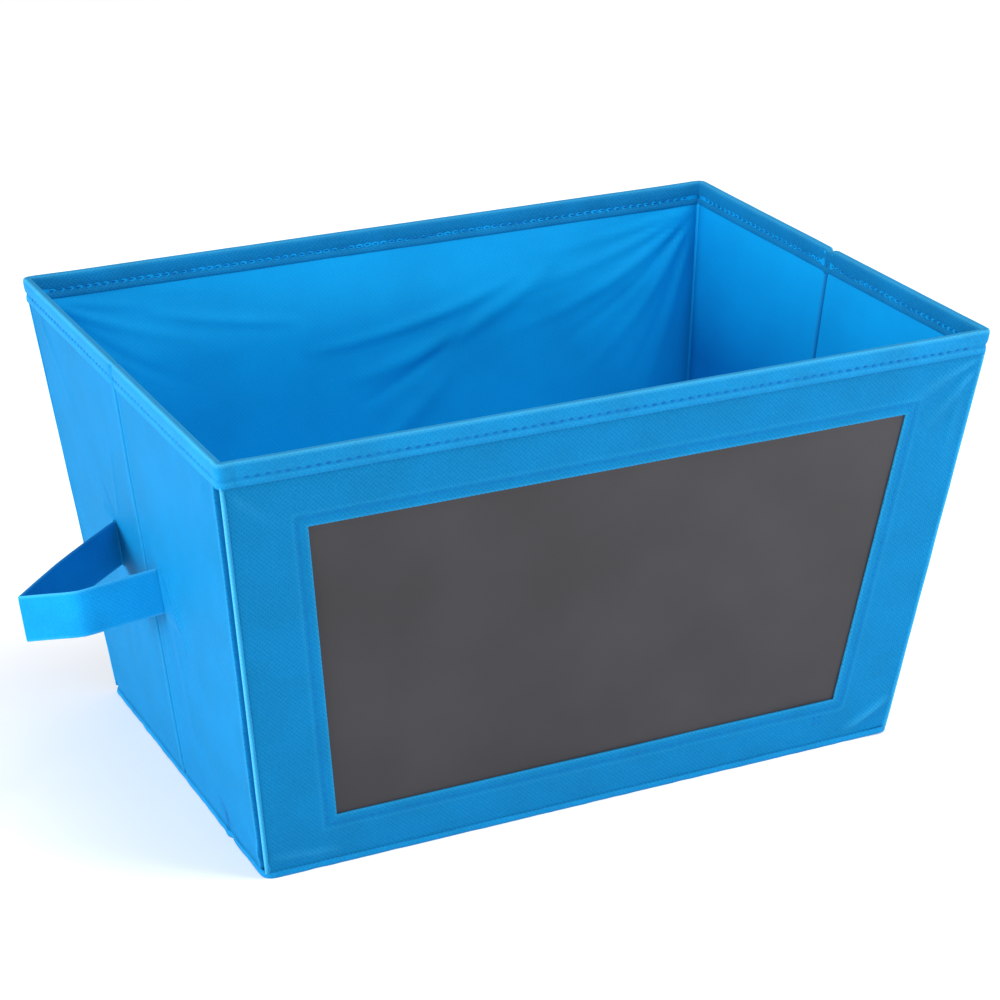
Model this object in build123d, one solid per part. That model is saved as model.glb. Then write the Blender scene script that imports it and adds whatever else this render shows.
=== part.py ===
from build123d import *
import os
from math import atan, cos, hypot, sin

# A collapsible storage bin of non-woven polypropylene over chipboard panels.
# Millimetres. The origin is the middle of the footprint, on the ground.
# X runs along the long walls, the front wall faces -Y, and Z is up.

# Overall size, over the faces of the outer covers
HEIGHT = 230.0
RIM_WIDTH = 402.0
RIM_DEPTH = 287.0
FOOT_WIDTH = 348.0
FOOT_DEPTH = 222.0

# Thickness of the layers of a wall, from outside to inside
COVER = 0.6
BOARD = 2.0
LINING = 0.5
SLATE = 0.8

# Rim hem, a folded band over the top edge of each panel
HEM = 0.5
HEM_HEIGHT = 12.0

# Window of the front cover, and how far the slate sheet reaches behind its edges
WINDOW_SIDE_MARGIN = 39.0
WINDOW_TOP_MARGIN = 39.0
WINDOW_FOOT_MARGIN = 29.0
SLATE_LAP = 12.0

# Joints of the folding walls
CORNER_GAP = 0.8
CORNER_BOARD_GAP = 3.0
CREASE_BOARD_GAP = 6.0
CREASE_CLOTH_GAP = 1.0

# Bottom cloth, the bound seam round it, and the loose base board
BOTTOM_CLOTH = 0.6
BINDING_HEIGHT = 5.9
BINDING_PROUD = 1.0
BINDING_LAP = 1.5
PANEL_LIFT = 0.4
BASE_CLOTH = 0.4
BASE_BOARD = 1.6
BASE_CLEARANCE = 1.5

# Strap handle of each end: two legs that leave slits in the two end halves
STRAP_WIDTH = 25.0
STRAP = 1.2
STRAP_HEIGHT = 118.0
STRAP_REACH = 65.0
REAR_SLIT = 42.0
FRONT_SLIT = 22.0
TAIL_LENGTH = 20.0
SLIT_GAP = 0.4
STRAP_CLEARANCE = 0.3

WALL = COVER + BOARD + LINING
END_SLOPE = (RIM_WIDTH - FOOT_WIDTH) / 2 / HEIGHT
LONG_SLOPE = (RIM_DEPTH - FOOT_DEPTH) / 2 / HEIGHT
END_LEAN = atan(END_SLOPE)
LONG_LEAN = atan(LONG_SLOPE)
PANEL_FOOT = BINDING_HEIGHT + PANEL_LIFT
TOO_LONG = 1000.0


def end_plane():
    """Plane on the outer face of the left end wall: x runs to the front, y up the wall, z out."""
    return Plane(
        origin=(-FOOT_WIDTH / 2, 0, 0),
        x_dir=(0, -1, 0),
        z_dir=(-cos(END_LEAN), 0, -sin(END_LEAN)),
    )


def long_plane():
    """Plane on the outer face of the front wall: x runs to the right, y up the wall, z out."""
    return Plane(
        origin=(0, -FOOT_DEPTH / 2, 0),
        x_dir=(1, 0, 0),
        z_dir=(0, -cos(LONG_LEAN), -sin(LONG_LEAN)),
    )


def panel_top(lean):
    """Height of a panel's top edge, measured up the wall, with the hem's inner lip level with the rim."""
    return (HEIGHT - (WALL + HEM) * sin(lean)) / cos(lean) - HEM


def end_reach(up):
    """Distance from the crease to the corner edge of an end half, at a height measured up the wall."""
    half_depth = FOOT_DEPTH / 2 + LONG_SLOPE * up * cos(END_LEAN)
    return half_depth - WALL / cos(LONG_LEAN) - CORNER_GAP


def long_reach(up):
    """Half the width of a long wall, at a height measured up the wall."""
    return FOOT_WIDTH / 2 + END_SLOPE * up * cos(LONG_LEAN)


def slab(plane, points, inner, outer):
    """A flat piece with the given outline on a wall, from one depth to another along its normal."""
    outline = Polyline(*points, close=True)
    flat = make_face(outline)
    return plane * Pos(0, 0, inner) * extrude(flat, outer - inner)


def block(plane, x_range, y_range, z_range):
    """A rectangular piece on a wall."""
    (x0, x1), (y0, y1), (z0, z1) = x_range, y_range, z_range
    points = [(x0, y0), (x1, y0), (x1, y1), (x0, y1)]
    return slab(plane, points, z0, z1)


def end_outline(crease_gap, low, high, spare=0.0):
    """Outline of an end half between two heights, with a gap at the crease and spare at the corner."""
    start = crease_gap / 2
    bottom = end_reach(low) + spare
    top = end_reach(high) + spare
    return [(start, low), (bottom, low), (top, high), (start, high)]


def long_outline(low, high, spare=0.0):
    """Outline of a long wall between two heights, longer by spare at each side."""
    bottom = long_reach(low) + spare
    top = long_reach(high) + spare
    return [(-bottom, low), (bottom, low), (top, high), (-top, high)]


def hem(plane, outline, lean):
    """A folded band that covers a panel's top edge on both faces."""
    top = panel_top(lean)
    low = top + HEM - HEM_HEIGHT
    band = slab(plane, outline(low, top + HEM), -WALL - HEM, HEM)
    core = block(plane, (-TOO_LONG, TOO_LONG), (low - 1, top), (-WALL, 0))
    return band - core


def end_foot():
    """Lower edge of the end panels, measured up the wall."""
    return PANEL_FOOT / cos(END_LEAN)


def long_foot():
    """Lower edge of the long panels, measured up the wall."""
    return PANEL_FOOT / cos(LONG_LEAN)


def strap_band():
    """The heights, measured up the end wall, between which the strap lies."""
    middle = STRAP_HEIGHT / cos(END_LEAN)
    return middle - STRAP_WIDTH / 2, middle + STRAP_WIDTH / 2


def strap_tail(slit):
    """The sewn end of a strap leg: flat behind the cover, then turned out through the slit."""
    plane = end_plane()
    flat = block(plane, (slit - STRAP / 2, slit + TAIL_LENGTH), strap_band(), (-COVER, STRAP - COVER))
    turned = block(plane, (slit - STRAP / 2, slit + STRAP / 2), strap_band(), (-COVER, STRAP))
    return flat + turned


def end_cover(slit):
    """Outer cover of an end half, raised over the strap's tail and cut for its slit."""
    plane = end_plane()
    low, high = strap_band()
    sheet = slab(plane, end_outline(CREASE_CLOTH_GAP, end_foot(), panel_top(END_LEAN)), -COVER, 0)
    raised_length = (slit, slit + TAIL_LENGTH + COVER)
    raised = block(plane, raised_length, (low - COVER, high + COVER), (-COVER, STRAP))
    pocket = block(plane, (slit - STRAP / 2, slit + TAIL_LENGTH), (low, high), (-COVER, STRAP - COVER))
    half_slit = STRAP / 2 + SLIT_GAP
    mouth = block(plane, (slit - half_slit, slit + half_slit), (low, high), (-COVER, 2 * STRAP))
    return sheet + raised - pocket - mouth


def end_board():
    """Chipboard stiffener of an end half, short of the corner."""
    outline = end_outline(CREASE_BOARD_GAP, end_foot(), panel_top(END_LEAN), -CORNER_BOARD_GAP)
    return slab(end_plane(), outline, -COVER - BOARD, -COVER)


def end_lining():
    """Inner lining of an end half."""
    outline = end_outline(CREASE_CLOTH_GAP, end_foot(), panel_top(END_LEAN))
    return slab(end_plane(), outline, -WALL, -COVER - BOARD)


def end_hem():
    """Rim hem of an end half."""

    def outline(low, high):
        return end_outline(CREASE_CLOTH_GAP, low, high)

    return hem(end_plane(), outline, END_LEAN)


def strap_leg(slit):
    """One leg of the strap, from its slit to the fold at the tip of the loop."""
    root = STRAP + STRAP_CLEARANCE + STRAP / 2
    rise = STRAP_REACH - root
    length = hypot(slit, rise)
    low, high = strap_band()
    across = Plane(
        origin=(slit, low, root),
        x_dir=(-slit, 0, rise),
        z_dir=(0, 1, 0),
    )
    blank = across * Pos(length / 2 + STRAP, 0, STRAP_WIDTH / 2) * Box(length + 2 * STRAP, STRAP, STRAP_WIDTH)
    past_tip = Pos(STRAP_CLEARANCE / 2 - TOO_LONG / 2, 0, 0) * Box(TOO_LONG, TOO_LONG, TOO_LONG)
    return end_plane() * (blank - past_tip)


def window_outline(lap):
    """The window of the front cover, with edges parallel to the wall's, grown by lap."""
    low = WINDOW_FOOT_MARGIN / cos(LONG_LEAN) - lap
    high = (HEIGHT - WINDOW_TOP_MARGIN) / cos(LONG_LEAN) + lap
    return long_outline(low, high, lap - WINDOW_SIDE_MARGIN)


def long_wall_outline(spare=0.0):
    """Outline of a long wall's panel, longer by spare at each side."""
    return long_outline(long_foot(), panel_top(LONG_LEAN), spare)


def long_cover():
    """Outer cover of a long wall."""
    return slab(long_plane(), long_wall_outline(), -COVER, 0)


def front_cover():
    """Outer cover of the front wall, with its window."""
    window = slab(long_plane(), window_outline(0), -2 * COVER, COVER)
    return long_cover() - window


def slate_sheet():
    """Writing surface, held behind the edges of the window."""
    return slab(long_plane(), window_outline(SLATE_LAP), -COVER - SLATE, -COVER)


def long_board(face):
    """Chipboard stiffener of a long wall, short of the corners, from a depth to the lining."""
    return slab(long_plane(), long_wall_outline(-CORNER_BOARD_GAP), -COVER - BOARD, -face)


def long_lining():
    """Inner lining of a long wall."""
    return slab(long_plane(), long_wall_outline(), -WALL, -COVER - BOARD)


def long_hem():
    """Rim hem of a long wall, flush with the hems of the end walls."""

    def outline(low, high):
        return long_outline(low, high, HEM)

    return hem(long_plane(), outline, LONG_LEAN)


def plate(width, depth, low, high):
    """A level rectangular piece between two heights."""
    return Pos(0, 0, (low + high) / 2) * Box(width, depth, high - low)


def bottom_sheet():
    """Bottom cloth inside the bound seam."""
    return plate(FOOT_WIDTH - 2 * BINDING_LAP, FOOT_DEPTH - 2 * BINDING_LAP, 0, BOTTOM_CLOTH)


def bottom_binding():
    """The bound seam where the wall covers meet the bottom cloth."""
    outside = plate(FOOT_WIDTH + 2 * BINDING_PROUD, FOOT_DEPTH + 2 * BINDING_PROUD, 0, BINDING_HEIGHT)
    inside = plate(FOOT_WIDTH - 2 * BINDING_LAP, FOOT_DEPTH - 2 * BINDING_LAP, -1, BINDING_HEIGHT + 1)
    return outside - inside


def base_size():
    """Width and depth of the covered base board, clear of the walls' inner faces."""
    width = FOOT_WIDTH - 2 * (WALL / cos(END_LEAN) + BASE_CLEARANCE)
    depth = FOOT_DEPTH - 2 * (WALL / cos(LONG_LEAN) + BASE_CLEARANCE)
    return width, depth


def base_board():
    """Loose chipboard that keeps the bottom flat."""
    width, depth = base_size()
    low = BOTTOM_CLOTH + BASE_CLOTH
    return plate(width - 2 * BASE_CLOTH, depth - 2 * BASE_CLOTH, low, low + BASE_BOARD)


def base_sleeve():
    """Cloth sleeve round the base board, open at its right end."""
    width, depth = base_size()
    top = BOTTOM_CLOTH + 2 * BASE_CLOTH + BASE_BOARD
    whole = plate(width, depth, BOTTOM_CLOTH, top)
    low = BOTTOM_CLOTH + BASE_CLOTH
    hollow = Pos(BASE_CLOTH, 0, 0) * plate(width, depth - 2 * BASE_CLOTH, low, low + BASE_BOARD)
    return whole - hollow


def end_half(slit):
    """The pieces of one end half, as they lie at the front of the left end."""
    return {
        "cover": end_cover(slit),
        "board": end_board(),
        "lining": end_lining(),
        "hem": end_hem(),
        "strap_tail": strap_tail(slit),
        "strap_leg": strap_leg(slit),
    }


def all_parts():
    """Every piece of the bin, by the name of its node."""
    back = Plane.XZ
    parts = {
        "back_cover": mirror(long_cover(), about=back),
        "back_board": mirror(long_board(COVER), about=back),
        "back_lining": mirror(long_lining(), about=back),
        "back_hem": mirror(long_hem(), about=back),
        "bottom_sheet": bottom_sheet(),
        "bottom_binding": bottom_binding(),
        "front_cover": front_cover(),
        "chalkboard_sheet": slate_sheet(),
        "front_board": long_board(COVER + SLATE),
        "front_lining": long_lining(),
        "front_hem": long_hem(),
        "base_board": base_board(),
        "base_sleeve": base_sleeve(),
    }
    front_half = end_half(FRONT_SLIT)
    rear_half = end_half(REAR_SLIT)
    for piece in front_half:
        at_front = front_half[piece]
        at_rear = mirror(rear_half[piece], about=back)
        parts[f"left_front_{piece}"] = at_front
        parts[f"left_rear_{piece}"] = at_rear
        parts[f"right_front_{piece}"] = mirror(at_front, about=Plane.YZ)
        parts[f"right_rear_{piece}"] = mirror(at_rear, about=Plane.YZ)
    return parts


os.makedirs("parts", exist_ok=True)
for name, part in all_parts().items():
    export_step(part, f"parts/{name}.step")
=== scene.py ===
"""Looks of a folding cloth storage bin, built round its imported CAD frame. Metres; the front wall faces -Y."""
import logging
import math
from collections.abc import Callable, Sequence
from dataclasses import dataclass, field
from enum import Enum

import bmesh
import bpy
from mathutils import Matrix, Vector, noise


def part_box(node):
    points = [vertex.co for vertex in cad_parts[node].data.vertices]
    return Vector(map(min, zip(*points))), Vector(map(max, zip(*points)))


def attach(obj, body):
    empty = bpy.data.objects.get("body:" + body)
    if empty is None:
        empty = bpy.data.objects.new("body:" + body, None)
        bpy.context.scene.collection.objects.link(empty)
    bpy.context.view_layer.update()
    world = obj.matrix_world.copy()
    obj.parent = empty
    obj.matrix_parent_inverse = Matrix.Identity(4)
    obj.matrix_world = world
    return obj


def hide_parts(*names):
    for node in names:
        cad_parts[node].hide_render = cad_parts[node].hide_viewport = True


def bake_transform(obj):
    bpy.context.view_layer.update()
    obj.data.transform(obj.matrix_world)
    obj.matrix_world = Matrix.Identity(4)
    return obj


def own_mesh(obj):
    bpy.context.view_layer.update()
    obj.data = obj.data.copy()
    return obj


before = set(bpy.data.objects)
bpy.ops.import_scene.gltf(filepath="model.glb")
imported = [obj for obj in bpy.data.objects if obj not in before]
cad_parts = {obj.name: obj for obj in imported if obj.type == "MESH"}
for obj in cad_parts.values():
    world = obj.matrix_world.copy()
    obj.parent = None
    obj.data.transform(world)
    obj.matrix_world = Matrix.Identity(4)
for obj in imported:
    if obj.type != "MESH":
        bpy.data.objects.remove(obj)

logging.basicConfig(level=logging.INFO, format="%(message)s")
LOG = logging.getLogger("storage_bin")

MM = 0.001
UP = Vector((0.0, 0.0, 1.0))
# Points nearer than this are one point.
MERGE_DISTANCE = 1e-6
# How many widths from its middle a mound ends.
MOUND_REACH = 3.5
# Faces that meet at more than this angle keep a sharp edge.
SHARP_ANGLE = math.radians(50.0)
POLYPROPYLENE_IOR = 1.49
WHITE = (1.0, 1.0, 1.0, 1.0)
CLOTH_UV = "cloth"
# Mesh attribute of painted light: above 0 a painted highlight on edges, below 0 painted shade in folds and grooves.
PAINTED_LIGHT = "painted_light"
HALVES = ("front", "rear")
# Half the gap between the two halves of an end at its crease, in millimetres.
CREASE_SLIT = 0.1
STITCH_PITCH = 4.8 * MM


# ---------------------------------------------------------------- measures taken from the frame


@dataclass(frozen=True)
class Taper:
    """A level distance from the middle of the bin that grows with height."""

    foot: float
    slope: float

    def at(self, z: float) -> float:
        """Returns the distance at a height."""
        return self.foot + self.slope * z

    @classmethod
    def through(cls, low: tuple[float, float], high: tuple[float, float]) -> "Taper":
        """Makes a taper through two (distance, height) pairs.

        Args:
            low: Distance and height of the lower point.
            high: Distance and height of the upper point.

        Returns:
            The taper.
        """
        slope = (high[0] - low[0]) / (high[1] - low[1])
        return cls(low[0] - slope * low[1], slope)


@dataclass(frozen=True)
class Wall:
    """One wall as a leaning plane on the outer face of its cover. It is placed by distances along, up and out."""

    along: Vector
    out: Vector
    reach: Taper
    half: Taper

    def point(self, u: float, z: float, lift: float = 0.0) -> Vector:
        """Returns the point at a distance along, a height and a level distance off the outer face."""
        return self.along * u + self.out * (self.reach.at(z) + lift) + UP * z

    @property
    def upward(self) -> Vector:
        """Direction up the leaning face."""
        return (self.out * self.reach.slope + UP).normalized()

    @property
    def normal(self) -> Vector:
        """Direction square off the leaning face."""
        return (self.out - UP * self.reach.slope).normalized()

    def leaning(self, u: float, v: float, w: float) -> Vector:
        """Returns the point at distances along, up and square off the leaning face."""
        return self.along * u + self.out * self.reach.foot + self.upward * v + self.normal * w

    def measured(self, point: Vector) -> Vector:
        """Returns a point's distances along, up and square off the leaning face."""
        rest = point - self.out * self.reach.foot
        return Vector((rest.dot(self.along), rest.dot(self.upward), rest.dot(self.normal)))


@dataclass(frozen=True)
class Corner:
    """Where an end wall meets a long wall, with the bodies that the hinge there joins."""

    name: str
    long: Wall
    end: Wall
    long_body: str
    end_body: str

    def point(self, a: float, b: float, z: float) -> Vector:
        """Returns the point a behind the long wall's outer face and b behind the end wall's."""
        across = self.long.out * (self.long.reach.at(z) - a)
        return across + self.end.out * (self.end.reach.at(z) - b) + UP * z


class Side(Enum):
    """The bin's four walls."""

    FRONT = "front"
    RIGHT = "right"
    BACK = "back"
    LEFT = "left"

    @property
    def is_long(self) -> bool:
        """Whether it is the front or the back wall."""
        return self in (Side.FRONT, Side.BACK)

    @property
    def facing(self) -> float:
        """1 where an end wall's own direction runs to the front of the bin, and -1 where it runs to the back."""
        return 1.0 if self is Side.LEFT else -1.0


def cad_vertices(node: str) -> list[Vector]:
    """Returns the corners of a CAD node."""
    return [vertex.co.copy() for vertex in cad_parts[node].data.vertices]


def farthest(node: str, *direction: float) -> Vector:
    """Returns the corner of a CAD node that lies farthest in a direction."""
    return max(cad_vertices(node), key=Vector(direction).dot)


@dataclass(frozen=True)
class BinMeasures:
    """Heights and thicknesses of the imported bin, and its walls and corners."""

    rim: float
    hem_height: float
    wall: float
    lip_top: float
    lip_proud: float
    walls: dict[Side, Wall]

    @classmethod
    def taken(cls) -> "BinMeasures":
        """Reads the measures from the frame's nodes."""
        front_low = farthest("front_cover", 0, 0, -1)
        front_high = farthest("front_cover", 0, -1, 0)
        reach_y = Taper.through((-front_low.y, front_low.z), (-front_high.y, front_high.z))
        end_low = farthest("left_rear_cover", 0, 0, -1)
        end_high = farthest("left_rear_cover", -1, 0, 0)
        reach_x = Taper.through((-end_low.x, end_low.z), (-end_high.x, end_high.z))
        inner = farthest("front_lining", 0, 0, 1)
        hem_low, hem_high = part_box("front_hem")
        lip_low, lip_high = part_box("bottom_binding")
        directions = {
            Side.FRONT: ((1, 0, 0), (0, -1, 0)),
            Side.RIGHT: ((0, 1, 0), (1, 0, 0)),
            Side.BACK: ((-1, 0, 0), (0, 1, 0)),
            Side.LEFT: ((0, -1, 0), (-1, 0, 0)),
        }
        walls = {}
        for side, (along, out) in directions.items():
            reach, half = (reach_y, reach_x) if side.is_long else (reach_x, reach_y)
            walls[side] = Wall(Vector(along), Vector(out), reach, half)
        return cls(
            rim=hem_high.z,
            hem_height=hem_high.z - hem_low.z,
            wall=reach_y.at(inner.z) + inner.y,
            lip_top=lip_high.z,
            lip_proud=-lip_low.x - reach_x.foot,
            walls=walls,
        )

    @property
    def corners(self) -> list[Corner]:
        """The four corners, front ones first."""
        found = []
        for long_side, body in ((Side.FRONT, "front_wall"), (Side.BACK, "back_wall")):
            half = "front" if long_side is Side.FRONT else "rear"
            for end_side in (Side.LEFT, Side.RIGHT):
                name = f"{end_side.value}_{half}"
                walls = self.walls[long_side], self.walls[end_side]
                found.append(Corner(name, *walls, body, f"{name}_panel"))
        return found


# ---------------------------------------------------------------- shapes of cloth


@dataclass(frozen=True)
class Station:
    """A column of the cloth: a fixed distance along its wall plus a share of the wall's half length."""

    offset: float
    share: float = 0.0

    def at(self, half: float) -> float:
        """Returns the distance along the wall where its half length is this."""
        return self.offset + self.share * half

    def towards(self, other: "Station", part: float) -> "Station":
        """Returns the column part of the way to another."""
        offset = self.offset + (other.offset - self.offset) * part
        return Station(offset, self.share + (other.share - self.share) * part)


def graded(marks: Sequence[Station], spacing: float, half: float) -> list[Station]:
    """Fills the room between marked columns evenly.

    Args:
        marks: Columns that are kept, in order along the wall.
        spacing: Widest distance between two columns.
        half: The half length at which that distance is measured.

    Returns:
        All the columns.
    """
    columns = [marks[0]]
    for start, end in zip(marks, marks[1:]):
        cells = max(1, math.ceil(abs(end.at(half) - start.at(half)) / spacing - 1e-6))
        columns += [start.towards(end, step / cells) for step in range(1, cells + 1)]
    return columns


def graded_heights(marks: Sequence[float], spacing: float) -> list[float]:
    """Fills the room between marked heights evenly.

    Args:
        marks: Heights that are kept, in order.
        spacing: Widest distance between two rows.

    Returns:
        All the heights.
    """
    return [column.offset for column in graded([Station(mark) for mark in marks], spacing, 0.0)]


def eased(value: float, low: float, high: float) -> float:
    """Returns 0 at low and before, 1 at high and beyond, and a smooth step between them."""
    part = min(1.0, max(0.0, (value - low) / (high - low)))
    return part * part * (3.0 - 2.0 * part)


def mound(distance: float, width: float) -> float:
    """Returns a bell curve's height at a distance from its middle."""
    part = distance / width
    return math.exp(-part * part) if abs(part) < MOUND_REACH else 0.0


def cloudy(u: float, z: float, size: float, seed: float) -> float:
    """Returns smooth noise between about -1 and 1 with patches of a size."""
    return noise.noise(Vector((u / size, z / size, seed)))


class Fade(Enum):
    """How the height of a crease changes along it."""

    BOTH_ENDS = "both ends"
    FAR_END = "far end"


@dataclass(frozen=True)
class Crease:
    """A ridge or a valley in a cloth, from one (along, height) point to another, in millimetres."""

    start: tuple[float, float]
    end: tuple[float, float]
    height: float
    width: float
    bow: float = 0.0
    fade: Fade = Fade.BOTH_ENDS

    def lift(self, u: float, z: float) -> float:
        """Returns how far the crease moves the cloth out at a point, in metres."""
        run = (self.end[0] - self.start[0]) * MM, (self.end[1] - self.start[1]) * MM
        away = u - self.start[0] * MM, z - self.start[1] * MM
        length = math.hypot(*run)
        part = (away[0] * run[0] + away[1] * run[1]) / (length * length)
        if not 0.0 < part < 1.0:
            return 0.0
        side = (away[0] * run[1] - away[1] * run[0]) / length
        side -= self.bow * MM * 4.0 * part * (1.0 - part)
        if self.fade is Fade.BOTH_ENDS:
            strength = math.sin(math.pi * part) ** 0.7
        else:
            strength = min(1.0, part * 9.0) * (1.0 - part) ** 1.1
        width = self.width * MM * (0.6 + 0.8 * part if self.fade is Fade.FAR_END else 1.0)
        return self.height * MM * strength * mound(side, width)


Lift = Callable[[float, float], float]


def laid_cloth(
    wall: Wall, columns: Sequence[Station], rows: Sequence[float], lift: Lift, painted_light: Lift | None = None
) -> bmesh.types.BMesh:
    """Lays a grid of cloth on a wall, with its outer side out.

    Args:
        wall: The wall it lies on.
        columns: Its columns.
        rows: Its heights.
        lift: Gives how far off the wall's outer face each point is.
        painted_light: Gives the painted light at each point: above 0 a painted highlight, below 0 painted shade.

    Returns:
        The cloth, with a UV map in metres.
    """
    shape = bmesh.new()
    cells = len(columns) - 1, len(rows) - 1
    bmesh.ops.create_grid(shape, x_segments=cells[0], y_segments=cells[1], size=0.5)
    uv = shape.loops.layers.uv.new(CLOTH_UV)
    painted_amount = shape.verts.layers.float.new(PAINTED_LIGHT)
    flat = {}
    for vertex in shape.verts:
        column = columns[round((vertex.co.x + 0.5) * cells[0])]
        z = rows[round((vertex.co.y + 0.5) * cells[1])]
        u = column.at(wall.half.at(z))
        flat[vertex] = (u, z)
        vertex.co = wall.point(u, z, lift(u, z))
        if painted_light:
            vertex[painted_amount] = painted_light(u, z)
    for face in shape.faces:
        for loop in face.loops:
            loop[uv].uv = flat[loop.vert]
    return shape


@dataclass(frozen=True)
class Rib:
    """A point of a band's cross-section, in millimetres: out, up, how far stitches pull it in, and painted light (above
    0 a painted highlight, below 0 painted shade).
    """

    out: float
    up: float
    pull: float = 0.0
    painted_light: float = 0.0


def swept(
    ribs: Sequence[Rib],
    steps: int,
    place: Callable[[int, Rib], Vector],
    length: Callable[[int], float],
    closed: bool = True,
    ring: bool = False,
) -> bmesh.types.BMesh:
    """Sweeps a cross-section along a line.

    Args:
        ribs: The cross-section's points.
        steps: How many places along the line there are.
        place: Gives the point of a rib at a place.
        length: Gives the distance of a place along the line, for the UV map.
        closed: Whether the cross-section is a closed loop.
        ring: Whether the line is a closed loop.

    Returns:
        The swept shape.
    """
    shape = bmesh.new()
    across = [*ribs, ribs[0]] if closed else list(ribs)
    girth = [0.0]
    for first, second in zip(across, across[1:]):
        girth.append(girth[-1] + math.hypot(second.out - first.out, second.up - first.up) * MM)
    cells = (steps if ring else steps - 1), len(across) - 1
    bmesh.ops.create_grid(shape, x_segments=cells[0], y_segments=cells[1], size=0.5)
    uv = shape.loops.layers.uv.new(CLOTH_UV)
    painted_amount = shape.verts.layers.float.new(PAINTED_LIGHT)
    flat = {}
    for vertex in shape.verts:
        step = round((vertex.co.x + 0.5) * cells[0])
        index = round((vertex.co.y + 0.5) * cells[1])
        flat[vertex] = (length(step), girth[index])
        vertex.co = place(step % steps, across[index])
        vertex[painted_amount] = across[index].painted_light
    for face in shape.faces:
        for loop in face.loops:
            loop[uv].uv = flat[loop.vert]
    if closed or ring:
        bmesh.ops.remove_doubles(shape, verts=shape.verts, dist=MERGE_DISTANCE)
    if closed and not ring:
        bmesh.ops.holes_fill(shape, edges=[edge for edge in shape.edges if edge.is_boundary], sides=0)
    bmesh.ops.recalc_face_normals(shape, faces=shape.faces)
    return shape


def face_towards(shape: bmesh.types.BMesh, direction: Vector) -> None:
    """Turns an open sheet's faces so that most of them look in a direction."""
    total = sum((face.normal * face.calc_area() for face in shape.faces), Vector())
    if total.dot(direction) < 0:
        bmesh.ops.reverse_faces(shape, faces=shape.faces)


def piece(name: str, shape: bmesh.types.BMesh, finish: bpy.types.Material) -> bpy.types.Object:
    """Makes a bmesh a named piece of the bin.

    Args:
        name: The piece's name.
        shape: Its shape, which is freed.
        finish: Its material.

    Returns:
        The piece's object.
    """
    mesh = bpy.data.meshes.new(name)
    shape.to_mesh(mesh)
    shape.free()
    mesh.shade_smooth()
    mesh.set_sharp_from_angle(angle=SHARP_ANGLE)
    mesh.materials.append(finish)
    made = bpy.data.objects.new(name, mesh)
    bpy.context.scene.collection.objects.link(made)
    LOG.info("%s: %d faces", name, len(mesh.polygons))
    return made


def thickened(made: bpy.types.Object, thickness: float) -> bpy.types.Object:
    """Gives an open sheet its thickness, on the side that its faces turn away from."""
    solidify = made.modifiers.new("thickness", "SOLIDIFY")
    solidify.thickness = thickness
    solidify.offset = -1.0
    return made


# ---------------------------------------------------------------- finishes


def linear(colour: str) -> tuple[float, float, float, float]:
    """Turns an sRGB hex colour to linear red, green, blue and alpha."""
    values = [int(colour[index : index + 2], 16) / 255.0 for index in (1, 3, 5)]
    red, green, blue = (v / 12.92 if v <= 0.04045 else ((v + 0.055) / 1.055) ** 2.4 for v in values)
    return red, green, blue, 1.0


def add_node(
    tree: bpy.types.NodeTree, kind: str, settings: dict | None = None, links: dict | None = None
) -> bpy.types.Node:
    """Adds a node to a tree.

    Args:
        tree: The node tree.
        kind: The node's type.
        settings: Values by the name or number of an input, or by the name of a property.
        links: Output sockets by the name or number of the input that they feed.

    Returns:
        The node.
    """
    node = tree.nodes.new(kind)
    for name, value in (settings or {}).items():
        if isinstance(name, str) and hasattr(node, name):
            setattr(node, name, value)
        else:
            node.inputs[name].default_value = value
    for name, source in (links or {}).items():
        tree.links.new(source, node.inputs[name])
    return node


def blank_material(name: str) -> tuple[bpy.types.Material, bpy.types.NodeTree]:
    """Returns a new material with an empty node tree, and the tree."""
    made = bpy.data.materials.new(name)
    made.use_nodes = True
    made.node_tree.nodes.clear()
    return made, made.node_tree


def finish_surface(tree: bpy.types.NodeTree, settings: dict, links: dict) -> None:
    """Adds the shader with its settings and links, and the output."""
    shader = add_node(tree, "ShaderNodeBsdfPrincipled", settings, links)
    add_node(tree, "ShaderNodeOutputMaterial", links={"Surface": shader.outputs["BSDF"]})


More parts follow.
